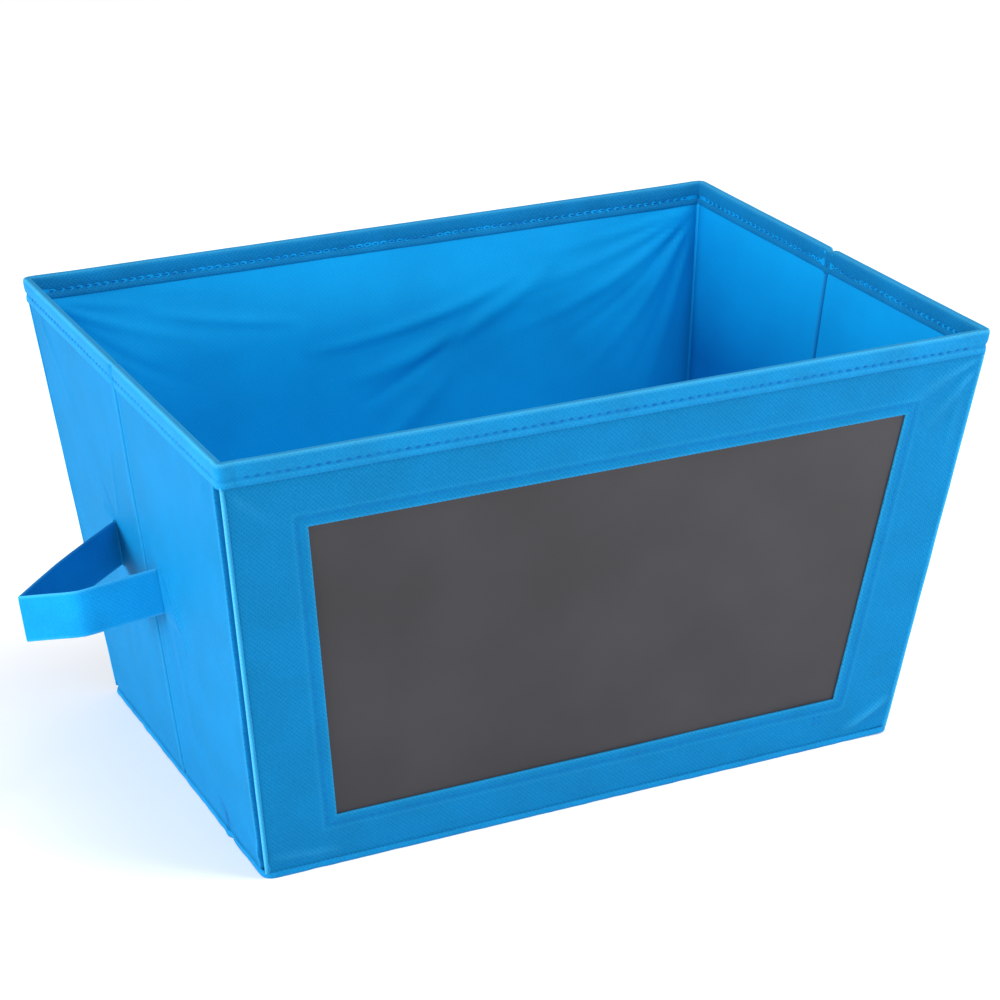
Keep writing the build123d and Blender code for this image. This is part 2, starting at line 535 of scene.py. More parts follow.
@dataclass(frozen=True)
class SpunbondCloth:
    """Non-woven polypropylene: a felt of fine fibres, fused in a diamond grid of pressed dots.

    The dots catch the light as tiny flat facets and the fibres between them scatter it. Edges that catch the light get
    a painted highlight in the pale colour, and folds, grooves and the hem's foot get painted shade in the fold colour:
    a mesh attribute says where, from 1 to -1.
    The real dots are about 1.2 mm apart; they are drawn 1.7 mm apart so that they show.
    """

    name: str
    colour: str
    deep: str
    # Colour of the fibre tufts, of the sheen, and of painted highlights on edges.
    pale: str
    # Colour of painted shade in folds, grooves and under the hem.
    fold: str = "#024a86"
    dot_pitch: float = 2.4 * MM
    dot_depth: float = 0.14 * MM
    dot_contrast: float = 0.42
    dot_shade: float = 0.5
    fibre_size: float = 1.8 * MM
    patch_size: float = 28.0 * MM
    roughness: float = 0.62
    tufts: float = 0.1
    sheen: float = 0.16
    shine: float = 0.07

    def material(self) -> bpy.types.Material:
        """Builds the material. It reads the cloth's UV map, which is in metres."""
        made, tree = blank_material(self.name)
        uv = add_node(tree, "ShaderNodeUVMap", {"uv_map": CLOTH_UV}).outputs["UV"]
        wave = 2.0 * math.pi / self.dot_pitch
        scaled = add_node(tree, "ShaderNodeMapping", {"Scale": (wave, wave, 1.0)}, {"Vector": uv})
        axes = add_node(tree, "ShaderNodeSeparateXYZ", links={0: scaled.outputs[0]})
        waves = [
            add_node(tree, "ShaderNodeMath", {"operation": "SINE"}, {0: axes.outputs[axis]}).outputs[0]
            for axis in ("X", "Y")
        ]
        product = add_node(
            tree, "ShaderNodeMath", {"operation": "MULTIPLY"}, {0: waves[0], 1: waves[1]}
        )
        dots = add_node(
            tree,
            "ShaderNodeMapRange",
            {"interpolation_type": "SMOOTHSTEP", "From Min": 0.1, "From Max": 0.9},
            {"Value": product.outputs[0]},
        ).outputs[0]
        fibres, patches = (
            add_node(
                tree,
                "ShaderNodeTexNoise",
                {"noise_dimensions": "2D", "Scale": 1.0 / size, "Detail": detail, "Roughness": rough},
                {"Vector": uv},
            ).outputs[0]
            for size, detail, rough in ((self.fibre_size, 4.0, 0.65), (self.patch_size, 2.0, 0.5))
        )
        # Painted light stored on the mesh: above 0 a painted highlight, below 0 painted shade.
        painted_amount = add_node(tree, "ShaderNodeAttribute", {"attribute_name": PAINTED_LIGHT}).outputs["Fac"]
        blotches, tufts, painted_shade_share = (
            add_node(tree, "ShaderNodeMapRange", settings, {"Value": value}).outputs[0]
            for settings, value in (
                ({"From Min": 0.35, "From Max": 0.7}, patches),
                ({"From Min": 0.35, "From Max": 0.8, "To Max": self.tufts}, fibres),
                ({"From Max": -1.0}, painted_amount),
            )
        )
        body = None
        # Laid over the cloth colour in turn: random blotches, fibre tufts, painted highlight and painted shade.
        layers = ((blotches, self.deep), (tufts, self.pale), (painted_amount, self.pale), (painted_shade_share, self.fold))
        for share, colour in layers:
            settings = {"data_type": "RGBA", 6: linear(self.colour), 7: linear(colour)}
            links = {0: share, 6: body} if body else {0: share}
            body = add_node(tree, "ShaderNodeMix", settings, links).outputs[2]
        pressed = add_node(tree, "ShaderNodeMath", {"operation": "MULTIPLY", 1: self.dot_contrast}, {0: dots})
        shade = add_node(
            tree,
            "ShaderNodeMix",
            {"data_type": "RGBA", "blend_type": "MULTIPLY", 0: 1.0, 7: (self.dot_shade,) * 3 + (1.0,)},
            {6: body},
        )
        # The dots fade out under painted shade.
        flattened = add_node(
            tree,
            "ShaderNodeMath",
            {"operation": "SUBTRACT", "use_clamp": True},
            {0: pressed.outputs[0], 1: painted_shade_share},
        )
        dotted = add_node(
            tree,
            "ShaderNodeMix",
            {"data_type": "RGBA"},
            {0: flattened.outputs[0], 6: body, 7: shade.outputs[2]},
        )
        gloss = add_node(
            tree,
            "ShaderNodeMapRange",
            {"To Min": self.roughness + 0.1, "To Max": self.roughness - 0.14},
            {"Value": dots},
        )
        lumps = add_node(tree, "ShaderNodeMath", {"operation": "MULTIPLY", 1: 0.5}, {0: fibres})
        height = add_node(
            tree, "ShaderNodeMath", {"operation": "SUBTRACT"}, {0: lumps.outputs[0], 1: dots}
        )
        bump = add_node(
            tree,
            "ShaderNodeBump",
            {"Strength": 0.8, "Distance": self.dot_depth},
            {"Height": height.outputs[0]},
        )
        finish_surface(
            tree,
            {
                "Sheen Weight": self.sheen,
                "Sheen Roughness": 0.4,
                "Sheen Tint": linear(self.pale),
                "Specular IOR Level": self.shine,
                "IOR": POLYPROPYLENE_IOR,
            },
            {"Base Color": dotted.outputs[2], "Roughness": gloss.outputs[0], "Normal": bump.outputs[0]},
        )
        return made


@dataclass(frozen=True)
class GrainedSurface:
    """A surface with grains and soft blotches on Object coordinates, for board, film, thread and paper."""

    name: str
    colour: str
    second: str
    grain: float
    blotch: float
    roughness: float
    bump: float
    stretch: tuple[float, float, float] = (1.0, 1.0, 1.0)
    contrast: float = 0.5
    sheen: float = 0.0
    shine: float = 0.3
    glow: float = 0.0

    def material(self) -> bpy.types.Material:
        """Builds the material."""
        made, tree = blank_material(self.name)
        place = add_node(tree, "ShaderNodeTexCoord").outputs["Object"]
        drawn = add_node(tree, "ShaderNodeMapping", {"Scale": self.stretch}, {"Vector": place})
        sources = {"Vector": drawn.outputs[0]}
        grain, blotch = (
            add_node(tree, "ShaderNodeTexNoise", {"Scale": 1.0 / size, "Detail": detail}, sources).outputs[0]
            for size, detail in ((self.grain, 4.0), (self.blotch, 3.0))
        )
        both = add_node(
            tree, "ShaderNodeMath", {"operation": "MULTIPLY_ADD", 1: 0.5}, {0: grain, 2: blotch}
        )
        spread = add_node(
            tree,
            "ShaderNodeMapRange",
            {"From Min": 0.55, "From Max": 0.95, "To Max": self.contrast * 2.0},
            {"Value": both.outputs[0]},
        )
        colour = add_node(
            tree,
            "ShaderNodeMix",
            {"data_type": "RGBA", 6: linear(self.colour), 7: linear(self.second)},
            {0: spread.outputs[0]},
        )
        gloss = add_node(
            tree,
            "ShaderNodeMapRange",
            {"To Min": self.roughness - 0.06, "To Max": self.roughness + 0.08},
            {"Value": grain},
        )
        bump = add_node(
            tree, "ShaderNodeBump", {"Strength": 0.5, "Distance": self.bump}, {"Height": grain}
        )
        finish_surface(
            tree,
            {
                "Sheen Weight": self.sheen,
                "Specular IOR Level": self.shine,
                "Emission Color": WHITE,
                "Emission Strength": self.glow,
            },
            {"Base Color": colour.outputs[2], "Roughness": gloss.outputs[0], "Normal": bump.outputs[0]},
        )
        return made


@dataclass
class Finishes:
    """Every finish of the bin, built once."""

    # Outer cover: the heaviest grade, with deep dots. All four cloths are one blue; this base colour is set darker than
    # the lining's, as painted shade.
    cover: bpy.types.Material = field(
        default_factory=lambda: SpunbondCloth(
            "spunbond_polypropylene_cover",
            "#026da5",
            "#02699e",
            "#48bce9",
            dot_contrast=0.5,
            tufts=0.05,
            sheen=0.1,
            shine=0.05,
        ).material()
    )
    # Lining: a thin smooth grade, whose dots hardly show. Its base colour is set lighter than the cover's, as painted
    # light for the bright inside of the bin.
    lining: bpy.types.Material = field(
        default_factory=lambda: SpunbondCloth(
            "spunbond_polypropylene_lining",
            "#019ee0",
            "#0197d8",
            "#5cc6ea",
            tufts=0.04,
            sheen=0.05,
            dot_contrast=0.12,
            dot_depth=0.03 * MM,
            roughness=0.55,
            patch_size=45.0 * MM,
        ).material()
    )
    # Hem, lip and corners: the same cloth folded double, with dots flattened by the folding. Its base colour is set a
    # little lighter than the cover's, as painted light.
    binding: bpy.types.Material = field(
        default_factory=lambda: SpunbondCloth(
            "spunbond_polypropylene_folded_edge",
            "#0277b1",
            "#0270a7",
            "#5cc6ea",
            tufts=0.06,
            dot_depth=0.08 * MM,
            dot_contrast=0.35,
        ).material()
    )
    # Strap: cloth folded flat in layers and pressed. Its base colour is set lighter than the cover's, as painted light.
    strap: bpy.types.Material = field(
        default_factory=lambda: SpunbondCloth(
            "spunbond_polypropylene_strap",
            "#0189ca",
            "#0181c0",
            "#5cc6ea",
            tufts=0.05,
            dot_depth=0.05 * MM,
            dot_contrast=0.15,
        ).material()
    )
    # Sewing thread: spun polyester, whose ply gives it a fine slanting grain. Its dark blue is painted shade, for the
    # dimples that the stitches pull into the cloth.
    thread: bpy.types.Material = field(
        default_factory=lambda: GrainedSurface(
            "spun_polyester_thread", "#03559a", "#0466ae", 0.35 * MM, 9.0 * MM, 0.6, 0.05 * MM, shine=0.08
        ).material()
    )
    # Chipboard: pulped grey board with flecks.
    chipboard: bpy.types.Material = field(
        default_factory=lambda: GrainedSurface(
            "grey_chipboard", "#8d8376", "#6f675c", 0.9 * MM, 14.0 * MM, 0.85, 0.06 * MM
        ).material()
    )
    # Writing sheet: a matt coating on film, finely sanded, with faint wiped streaks.
    chalkboard: bpy.types.Material = field(
        default_factory=lambda: GrainedSurface(
            "matt_coated_writing_film", "#2b2a2d", "#323135", 0.5 * MM, 60.0 * MM, 0.55, 0.01 * MM, shine=0.25
        ).material()
    )


# ---------------------------------------------------------------- stitches


@dataclass(frozen=True)
class Stitch:
    """Where one stitch lies: its middle, the direction it runs in and the side that it shows on."""

    middle: Vector
    run: Vector
    face: Vector


@dataclass(frozen=True)
class StitchRow:
    """A row of machine stitches of one size."""

    length: float = 2.7 * MM
    width: float = 1.15 * MM
    height: float = 0.5 * MM

    def shape(self, stitches: Sequence[Stitch]) -> bmesh.types.BMesh:
        """Makes a small rounded bar of thread for each stitch.

        Args:
            stitches: Where they lie.

        Returns:
            All of them in one shape.
        """
        shape = bmesh.new()
        half = Matrix.Diagonal((self.length / 2, self.width / 2, self.height / 2, 1.0))
        lying = Matrix.Rotation(math.pi / 2, 4, "Y")
        for stitch in stitches:
            run = stitch.run.normalized()
            across = stitch.face.cross(run).normalized()
            face = run.cross(across)
            turn = Matrix((run, across, face)).transposed().to_4x4()
            place = Matrix.Translation(stitch.middle) @ turn @ half @ lying
            bmesh.ops.create_uvsphere(shape, u_segments=8, v_segments=5, radius=1.0, matrix=place)
        return shape


def stitch_pull(along: float) -> float:
    """Returns how hard a row whose middle stitch is at 0 pulls the cloth in: 1 at a stitch, 0 between two."""
    return 0.5 + 0.5 * math.cos(2.0 * math.pi * along / STITCH_PITCH)


# ---------------------------------------------------------------- the walls' cloths


@dataclass
class WallPart:
    """What every piece of one wall has: the bin's measures, the finishes and its side."""

    bin: BinMeasures
    finishes: Finishes
    side: Side

    @property
    def wall(self) -> Wall:
        """The wall it belongs to."""
        return self.bin.walls[self.side]

    def cut(self, shape: bmesh.types.BMesh, is_hole: Callable[[float, float], bool]) -> None:
        """Cuts away the faces whose middle, as distances along and up the wall, is in a hole.

        Args:
            shape: The cloth.
            is_hole: Tells whether a distance along and a height are in the hole.
        """
        gone = []
        for face in shape.faces:
            middle = face.calc_center_median()
            if is_hole(middle.dot(self.wall.along), middle.z):
                gone.append(face)
        bmesh.ops.delete(shape, geom=gone, context="FACES")

    @staticmethod
    def foot_pull(z: float) -> float:
        """Returns how far the bottom seam pulls a cover in at a height, in millimetres."""
        return 0.45 * mound(z - 5.5 * MM, 2.4 * MM)

    def declare(self, made: bpy.types.Object, share: float, opening: float = 0.0) -> None:
        """Works out the width, at the rim and at the foot, of a cloth cut to the wall's shape; nothing is declared and
        the widths are not used.

        Args:
            made: The cloth; not used.
            share: How many half lengths of the wall it covers.
            opening: Area of the hole that is cut in it; not used.
        """
        width, foot_width = share * self.wall.half.at(self.bin.rim), share * self.wall.half.foot


@dataclass
class LongCover(WallPart):
    """Outer cover of the back wall, and the base of the front one."""

    body: str
    node: str
    cell: float = 2.6 * MM
    cloth: float = 0.5 * MM
    edge_gap: float = 1.6 * MM
    foot: float = 3.4 * MM
    tuck: float = 2.0 * MM
    creases: tuple[Crease, ...] = ()
    seed: float = 3.0

    @property
    def top(self) -> float:
        """Its upper edge, inside the hem."""
        return self.bin.rim - self.tuck

    @property
    def opening(self) -> float:
        """Area of the hole that is cut in it."""
        return 0.0

    def marks(self) -> tuple[list[Station], list[float]]:
        """Returns the columns and heights that have to be on the grid."""
        edge = Station(self.edge_gap, -1.0), Station(-self.edge_gap, 1.0)
        below = self.bin.rim - self.bin.hem_height
        return [*edge], [self.foot, *(below - step * MM for step in (3.0, 1.6, 0.6)), below, self.top]

    def lift(self, u: float, z: float) -> float:
        """Returns how far the cloth stands off the CAD cover's outer face."""
        calm = eased(self.top - z, 0.0, 14.0 * MM) * eased(z, 4.0 * MM, 16.0 * MM)
        waves = 0.45 * cloudy(u, z, 62.0 * MM, self.seed) + 0.12 * cloudy(u, z, 15.0 * MM, self.seed + 5)
        waves += sum(crease.lift(u, z) for crease in self.creases) / MM
        under = 0.3 * mound(self.bin.rim - self.bin.hem_height - 0.3 * MM - z, 1.1 * MM)
        return (0.25 + max(-0.3, waves) * (0.25 + 0.75 * calm) - self.foot_pull(z) - under) * MM

    def build(self) -> bpy.types.Object:
        """Builds the cloth and hangs it on its body.

        Returns:
            The cloth.
        """
        columns, rows = self.marks()
        half = self.wall.half.at(self.bin.rim / 2)
        shape = laid_cloth(
            self.wall, graded(columns, self.cell, half), graded_heights(rows, self.cell), self.lift
        )
        face_towards(shape, self.wall.out)
        made = piece(f"{self.side.value}_cover_cloth", shape, self.finishes.cover)
        self.hang(made)
        return made

    def hang(self, made: bpy.types.Object) -> None:
        """Gives the cloth its thickness and its place on the frame."""
        thickened(made, self.cloth)
        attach(made, self.body)
        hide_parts(self.node)
        self.declare(made, 2.0, self.opening)


@dataclass
class WindowCover(LongCover):
    """Outer cover of the front wall, with the turned and stitched edge of its window."""

    cell: float = 1.9 * MM
    stitch_gap: float = 5.0 * MM
    turned: float = 8.0 * MM
    raised: float = 0.35
    # Stitches of the back-tack: how far in from the window's corner and below its sill, in millimetres.
    back_tack: tuple[tuple[float, float], ...] = ((7.0, 12.5), (10.5, 12.5), (7.0, 9.0), (10.5, 9.0))
    window: tuple[float, float, float] = field(init=False)

    def __post_init__(self) -> None:
        """Finds the window in the CAD cover: its side margin, sill and head."""
        lines = [v for v in cad_vertices(self.node) if abs(self.wall.measured(v).z) < 0.1 * MM]
        inside = [v for v in lines if self.wall.half.at(v.z) - abs(v.x) > 5.0 * MM]
        sill = min(v.z for v in inside)
        head = max(v.z for v in inside)
        corner = max(inside, key=lambda v: v.x + v.z)
        self.window = self.wall.half.at(corner.z) - corner.x, sill, head

    @property
    def opening(self) -> float:
        """Area of the window."""
        margin, sill, head = self.window
        return 2.0 * (self.wall.half.at((sill + head) / 2) - margin) * (head - sill)

    def marks(self) -> tuple[list[Station], list[float]]:
        """Returns the columns and heights that have to be on the grid, the window's edges among them."""
        columns, rows = super().marks()
        margin, sill, head = self.window
        steps = (self.stitch_gap + self.cell, self.stitch_gap, self.stitch_gap - self.cell, 0.9 * MM, 0.0)
        left = [Station(margin - step, -1.0) for step in steps]
        right = [Station(step - margin, 1.0) for step in reversed(steps)]
        low = [sill - step for step in steps]
        high = [head + step for step in reversed(steps)]
        return [columns[0], *left, *right, columns[-1]], [rows[0], *low, *high, *rows[1:]]

    def outside(self, u: float, z: float) -> float:
        """Returns how far a point is outside the window's edge."""
        margin, sill, head = self.window
        return max(abs(u) - self.wall.half.at(z) + margin, sill - z, z - head)

    def lift(self, u: float, z: float) -> float:
        """Returns how far the cloth stands off, with the window's turned edge, stitch valley and puckers."""
        away = self.outside(u, z)
        _, sill, head = self.window
        run = z - (sill + head) / 2 if sill <= z <= head else u
        beat = stitch_pull(run)
        raised = self.raised * eased(self.turned - away, 0.0, 1.6 * MM)
        valley = (0.22 + 0.3 * beat) * mound(away - self.stitch_gap, 1.3 * MM)
        pucker = 0.13 * (0.5 - beat) * mound(away - 8.0 * MM, 4.5 * MM)
        pucker += 0.22 * cloudy(run, away * 0.4, 8.0 * MM, 11.0) * mound(away - 7.0 * MM, 6.0 * MM)
        rolled = 0.18 * mound(away, 0.8 * MM)
        return super().lift(u, z) + (raised - valley + pucker - rolled) * MM

    def painted_light_at(self, u: float, z: float) -> float:
        """Returns the painted light: a painted highlight along the window's turned edge and beside the stitch row,
        painted shade in the stitch valley, and lighter ridges and darker valleys along the creases.
        """
        away = self.outside(u, z)
        painted_highlights = 0.16 * mound(away - 0.2 * MM, 0.7 * MM) + 0.06 * mound(away - self.stitch_gap - 1.6 * MM, 1.0 * MM)
        return painted_highlights - 0.25 * mound(away - self.stitch_gap, 0.8 * MM) + sum(
            0.12 * crease.lift(u, z) / MM for crease in self.creases
        )

    def build(self) -> bpy.types.Object:
        """Builds the cloth, cuts its window, rolls the window's edge in and sews it."""
        columns, rows = self.marks()
        half = self.wall.half.at(self.bin.rim / 2)
        shape = laid_cloth(
            self.wall,
            graded(columns, self.cell, half),
            graded_heights(rows, self.cell),
            self.lift,
            self.painted_light_at,
        )
        self.cut(shape, lambda u, z: self.outside(u, z) < 0.0)
        margin = self.window[0]
        edges = [
            edge
            for edge in shape.edges
            if edge.is_boundary
            and all(self.outside(v.co.dot(self.wall.along), v.co.z) < margin / 4 for v in edge.verts)
        ]
        for inward in (0.45 * MM, 0.65 * MM):
            grown = bmesh.ops.extrude_edge_only(shape, edges=edges)["geom"]
            edges = [item for item in grown if isinstance(item, bmesh.types.BMEdge)]
            verts = [item for item in grown if isinstance(item, bmesh.types.BMVert)]
            bmesh.ops.translate(shape, verts=verts, vec=-self.wall.out * inward)
        face_towards(shape, self.wall.out)
        made = piece("front_cover_cloth", shape, self.finishes.cover)
        self.hang(made)
        self.sew()
        return made

    def sew(self) -> None:
        """Sews round the window, with a back-tack at its lower right corner."""
        margin, sill, head = self.window
        gap = self.stitch_gap
        stitches = []
        for z in (sill - gap, head + gap):
            half = self.wall.half.at(z) - margin + gap
            count = int(half / STITCH_PITCH)
            for index in range(-count, count + 1):
                stitches.append(self.stitch(index * STITCH_PITCH, z, self.wall.along))
        count = int((head - sill + 2 * gap) / 2 / STITCH_PITCH)
        for index in range(-count, count + 1):
            z = (sill + head) / 2 + index * STITCH_PITCH
            slant = self.wall.along * self.wall.half.slope
            half = self.wall.half.at(z) - margin + gap
            stitches.append(self.stitch(half, z, self.wall.upward + slant))
            stitches.append(self.stitch(-half, z, self.wall.upward - slant))
        corner = self.wall.half.at(sill) - margin
        for step, low in self.back_tack:
            stitches.append(self.stitch(corner - step * MM, sill - low * MM, self.wall.upward))
        row = piece("window_stitches", StitchRow().shape(stitches), self.finishes.thread)
        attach(row, self.body)

    def stitch(self, u: float, z: float, run: Vector) -> Stitch:
        """Returns a stitch of this cover that lies in its valley."""
        return Stitch(self.wall.point(u, z, self.lift(u, z) + 0.02 * MM), run, self.wall.normal)


@dataclass
class EndCover(WallPart):
    """Outer cover of one half of an end wall: folded in at the crease and tented over the strap's end."""

    half: str
    slits: dict[str, float]
    band: tuple[float, float]
    cell: float = 1.2 * MM
    row: float = 2.6 * MM
    cloth: float = 0.5 * MM
    foot: float = 3.4 * MM
    tuck: float = 2.0 * MM
    tail: float = 20.0 * MM
    tent: float = 1.15
    slit_reach: float = 0.8 * MM
    groove_depth: float = 2.45
    # Columns beside the corner's groove, the crease and the slit, in millimetres from each.
    groove_steps: tuple[float, ...] = (2.4, 1.7, 1.1, 0.6, 0.25, 0.0, -0.2, -0.4, -0.6, -0.8, -1.0, -1.5)
    crease_steps: tuple[float, ...] = (0.3, 0.6, 1.0, 1.6, 2.4, 3.4)
    slit_steps: tuple[float, ...] = (-2.2, -0.9, 0.9, 2.2)
    creases: tuple[Crease, ...] = ()
    seed: float = 21.0

    def towards_front(self, u: float) -> float:
        """Turns a distance along the wall to one towards the front of the bin."""
        return u * self.side.facing

    def marks(self) -> tuple[list[Station], list[float]]:
        """Returns the columns and heights that have to be on the grid."""
        low_edge, high_edge = self.groove_edge(0.0), self.groove_edge(self.bin.rim)
        taper = self.wall.half
        share = (high_edge - low_edge) / (taper.at(self.bin.rim) - taper.foot)
        base = low_edge - share * taper.foot
        far = [Station(-base - step * MM, 1.0 - share) for step in self.groove_steps]
        crease = [Station(step * MM) for step in (CREASE_SLIT, *self.crease_steps)]
        slit = [Station(self.slits[self.half] + step * MM) for step in self.slit_steps]
        marks = [*crease, *slit, *far]
        if (self.half == "front") != (self.side.facing > 0):
            marks = [Station(-station.offset, -station.share) for station in reversed(marks)]
        low, high = self.band
        return marks, [self.foot, low - 0.5 * MM, low, high, high + 0.5 * MM, self.bin.rim - self.tuck]

    def groove_edge(self, z: float) -> float:
        """Returns how far from the corner the cloth starts to turn into the corner's groove."""
        return (5.6 + 1.6 * z / self.bin.rim) * MM

    def painted_light_at(self, u: float, z: float) -> float:
        """Returns the painted light: painted shade along the crease, in the corner's groove and in the creases'
        valleys, with faint painted highlights beside the crease and at the groove's edge.
        """
        front = self.towards_front(u)
        # Painted shade, less faint painted highlights; the sign is turned at the end.
        fold = mound(u, 0.8 * MM) - 0.1 * mound(abs(u) - 2.4 * MM, 1.2 * MM)
        depth = self.wall.half.at(z) - abs(u) - self.groove_edge(z)
        fold += 0.9 * eased(-depth, 0.1 * MM, 0.9 * MM) - 0.1 * mound(depth - 0.5 * MM, 0.8 * MM)
        for crease in self.creases:
            fold += 0.6 * max(0.0, -crease.lift(front, z) / MM)
        return -fold

    def lift(self, u: float, z: float) -> float:
        """Returns how far the cloth stands off the CAD cover's outer face."""
        front = self.towards_front(u)
        top = self.bin.rim - self.tuck
        calm = eased(top - z, 0.0, 16.0 * MM) * eased(z, 4.0 * MM, 18.0 * MM)
        waves = 0.4 * cloudy(front, z, 48.0 * MM, self.seed) + 0.1 * cloudy(front, z, 14.0 * MM, self.seed + 3)
        waves += sum(crease.lift(front, z) for crease in self.creases) / MM
        stands = 0.25 + max(-0.2, waves) * (0.3 + 0.7 * calm)
        low, high = self.band
        middle = (low + high) / 2
        for half, slit in self.slits.items():
            side = front if half == "front" else -front
            level = 1.0 - eased(abs(z - middle), 12.0 * MM, 17.0 * MM)
            over = eased(side, slit - 1.0 * MM, slit + 1.5 * MM)
            over *= 1.0 - eased(side, slit + self.tail - 2.0 * MM, slit + self.tail + 3.0 * MM)
            stands += self.tent * level * over
            stands += 0.6 * mound(side - slit, 5.0 * MM) * mound(z - middle, 17.0 * MM)
        crease = abs(u)
        stands += 0.35 * mound(crease - 3.2 * MM, 1.6 * MM)
        stands -= 1.0 * mound(crease, 0.9 * MM)
        depth = self.wall.half.at(z) - abs(u)
        edge = self.groove_edge(z)
        roll = eased(edge - depth, 0.0, 1.0 * MM)
        stands += 0.3 * mound(depth - edge - 1.2 * MM, 1.6 * MM)
        return (stands * (1.0 - roll) - self.groove_depth * roll - self.foot_pull(z)) * MM

    def build(self) -> bpy.types.Object:
        """Builds the cloth, cuts the strap's slit and hangs it on its body."""
        columns, rows = self.marks()
        half = self.wall.half.at(self.bin.rim / 2)
        columns, rows = graded(columns, self.cell, half), graded_heights(rows, self.row)
        shape = laid_cloth(self.wall, columns, rows, self.lift, self.painted_light_at)
        low, high = self.band
        slit = self.slits[self.half] * (1.0 if self.half == "front" else -1.0)
        self.cut(
            shape,
            lambda u, z: abs(self.towards_front(u) - slit) < self.slit_reach and low < z < high,
        )
        face_towards(shape, self.wall.out)
        name = f"{self.side.value}_{self.half}"
        made = thickened(
            piece(f"{name}_cover_cloth", shape, self.finishes.cover), self.cloth
        )
        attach(made, f"{name}_panel")
        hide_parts(f"{name}_cover")
        self.declare(made, 1.0)
        return made


@dataclass
class Lining(WallPart):
    """Inner lining of a wall or of one half of an end wall."""

    body: str
    node: str
    creases: tuple[Crease, ...] = ()
    bulge: float = 0.6
    cell: float = 2.1 * MM
    cloth: float = 0.4 * MM
    foot: float = 3.2 * MM
    tuck: float = 2.0 * MM
    folded: float = 0.25
    seed: float = 41.0

    def columns(self) -> list[Station]:
        """Returns the columns that have to be on the grid."""
        inset = self.bin.wall - 0.1 * MM if self.side.is_long else self.bin.wall + 0.5 * MM
        near, far = Station(inset, -1.0), Station(-inset, 1.0)
        if self.side.is_long:
            return [near, far]
        fold = [Station(step * MM) for step in (CREASE_SLIT, 0.5, 1.1, 2.0, 3.2)]
        first = "front" if self.side is Side.RIGHT else "rear"
        if self.node.split("_")[1] == first:
            return [near, *[Station(-station.offset) for station in reversed(fold)]]
        return [*fold, far]

    def lift(self, u: float, z: float) -> float:
        """Returns how far the cloth is from the CAD cover's outer face, with its loose folds to the inside."""
        half = self.wall.half.at(z)
        top = self.bin.rim - self.bin.hem_height
        edge = eased(half - abs(u), 3.0 * MM, 46.0 * MM)
        rise = eased(top - z, -2.0 * MM, 40.0 * MM) * eased(z, 4.0 * MM, 60.0 * MM)
        loose = self.bulge * edge * rise
        calm = eased(half - abs(u), 3.0 * MM, 12.0 * MM) * eased(top - z, -1.0 * MM, 6.0 * MM)
        waves = 0.5 * cloudy(u, z, 55.0 * MM, self.seed) + 0.14 * cloudy(u, z, 17.0 * MM, self.seed + 2)
        if not self.side.is_long:
            loose *= eased(abs(u), 2.0 * MM, 30.0 * MM)
            loose += 0.3 * mound(abs(u) - 3.4 * MM, 1.8 * MM) - 1.5 * mound(u, 1.5 * MM)
            waves *= 0.5
        folds = sum(crease.lift(u, z) for crease in self.creases) / MM * eased(top - z, -1.0 * MM, 4.0 * MM)
        inward = loose + max(-0.05 - max(loose, 0.0), (0.35 + waves) * calm * 0.6 + folds)
        return -self.bin.wall - inward * MM

    def painted_light_at(self, u: float, z: float) -> float:
        """Returns the painted shade, from 0 to -1: along an end's middle crease and towards the wall's side edges."""
        side = self.wall.half.at(z) - abs(u) - self.bin.wall
        middle = 0.0 if self.side.is_long else mound(u, 1.3 * MM)
        return -0.9 * middle - 0.35 * mound(side, 5.0 * MM)

    def build(self) -> bpy.types.Object:
        """Builds the cloth and hangs it on its body."""
        half = self.wall.half.at(self.bin.rim / 2)
        rows = graded_heights([self.foot, self.bin.rim - self.tuck], self.cell)
        columns = graded(self.columns(), self.cell, half)
        shape = laid_cloth(self.wall, columns, rows, self.lift, self.painted_light_at)
        face_towards(shape, -self.wall.out)
        made = thickened(piece(f"{self.node}_cloth", shape, self.finishes.lining), self.cloth)
        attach(made, self.body)
        if self.side.is_long:
            anchor = self.wall.leaning(0.0, 0.0, -self.bin.wall)
            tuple(self.wall.normal)
            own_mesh(made)
        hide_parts(self.node)
        self.declare(made, 2.0 if self.side.is_long else 1.0)
        return made


# ---------------------------------------------------------------- rim hem


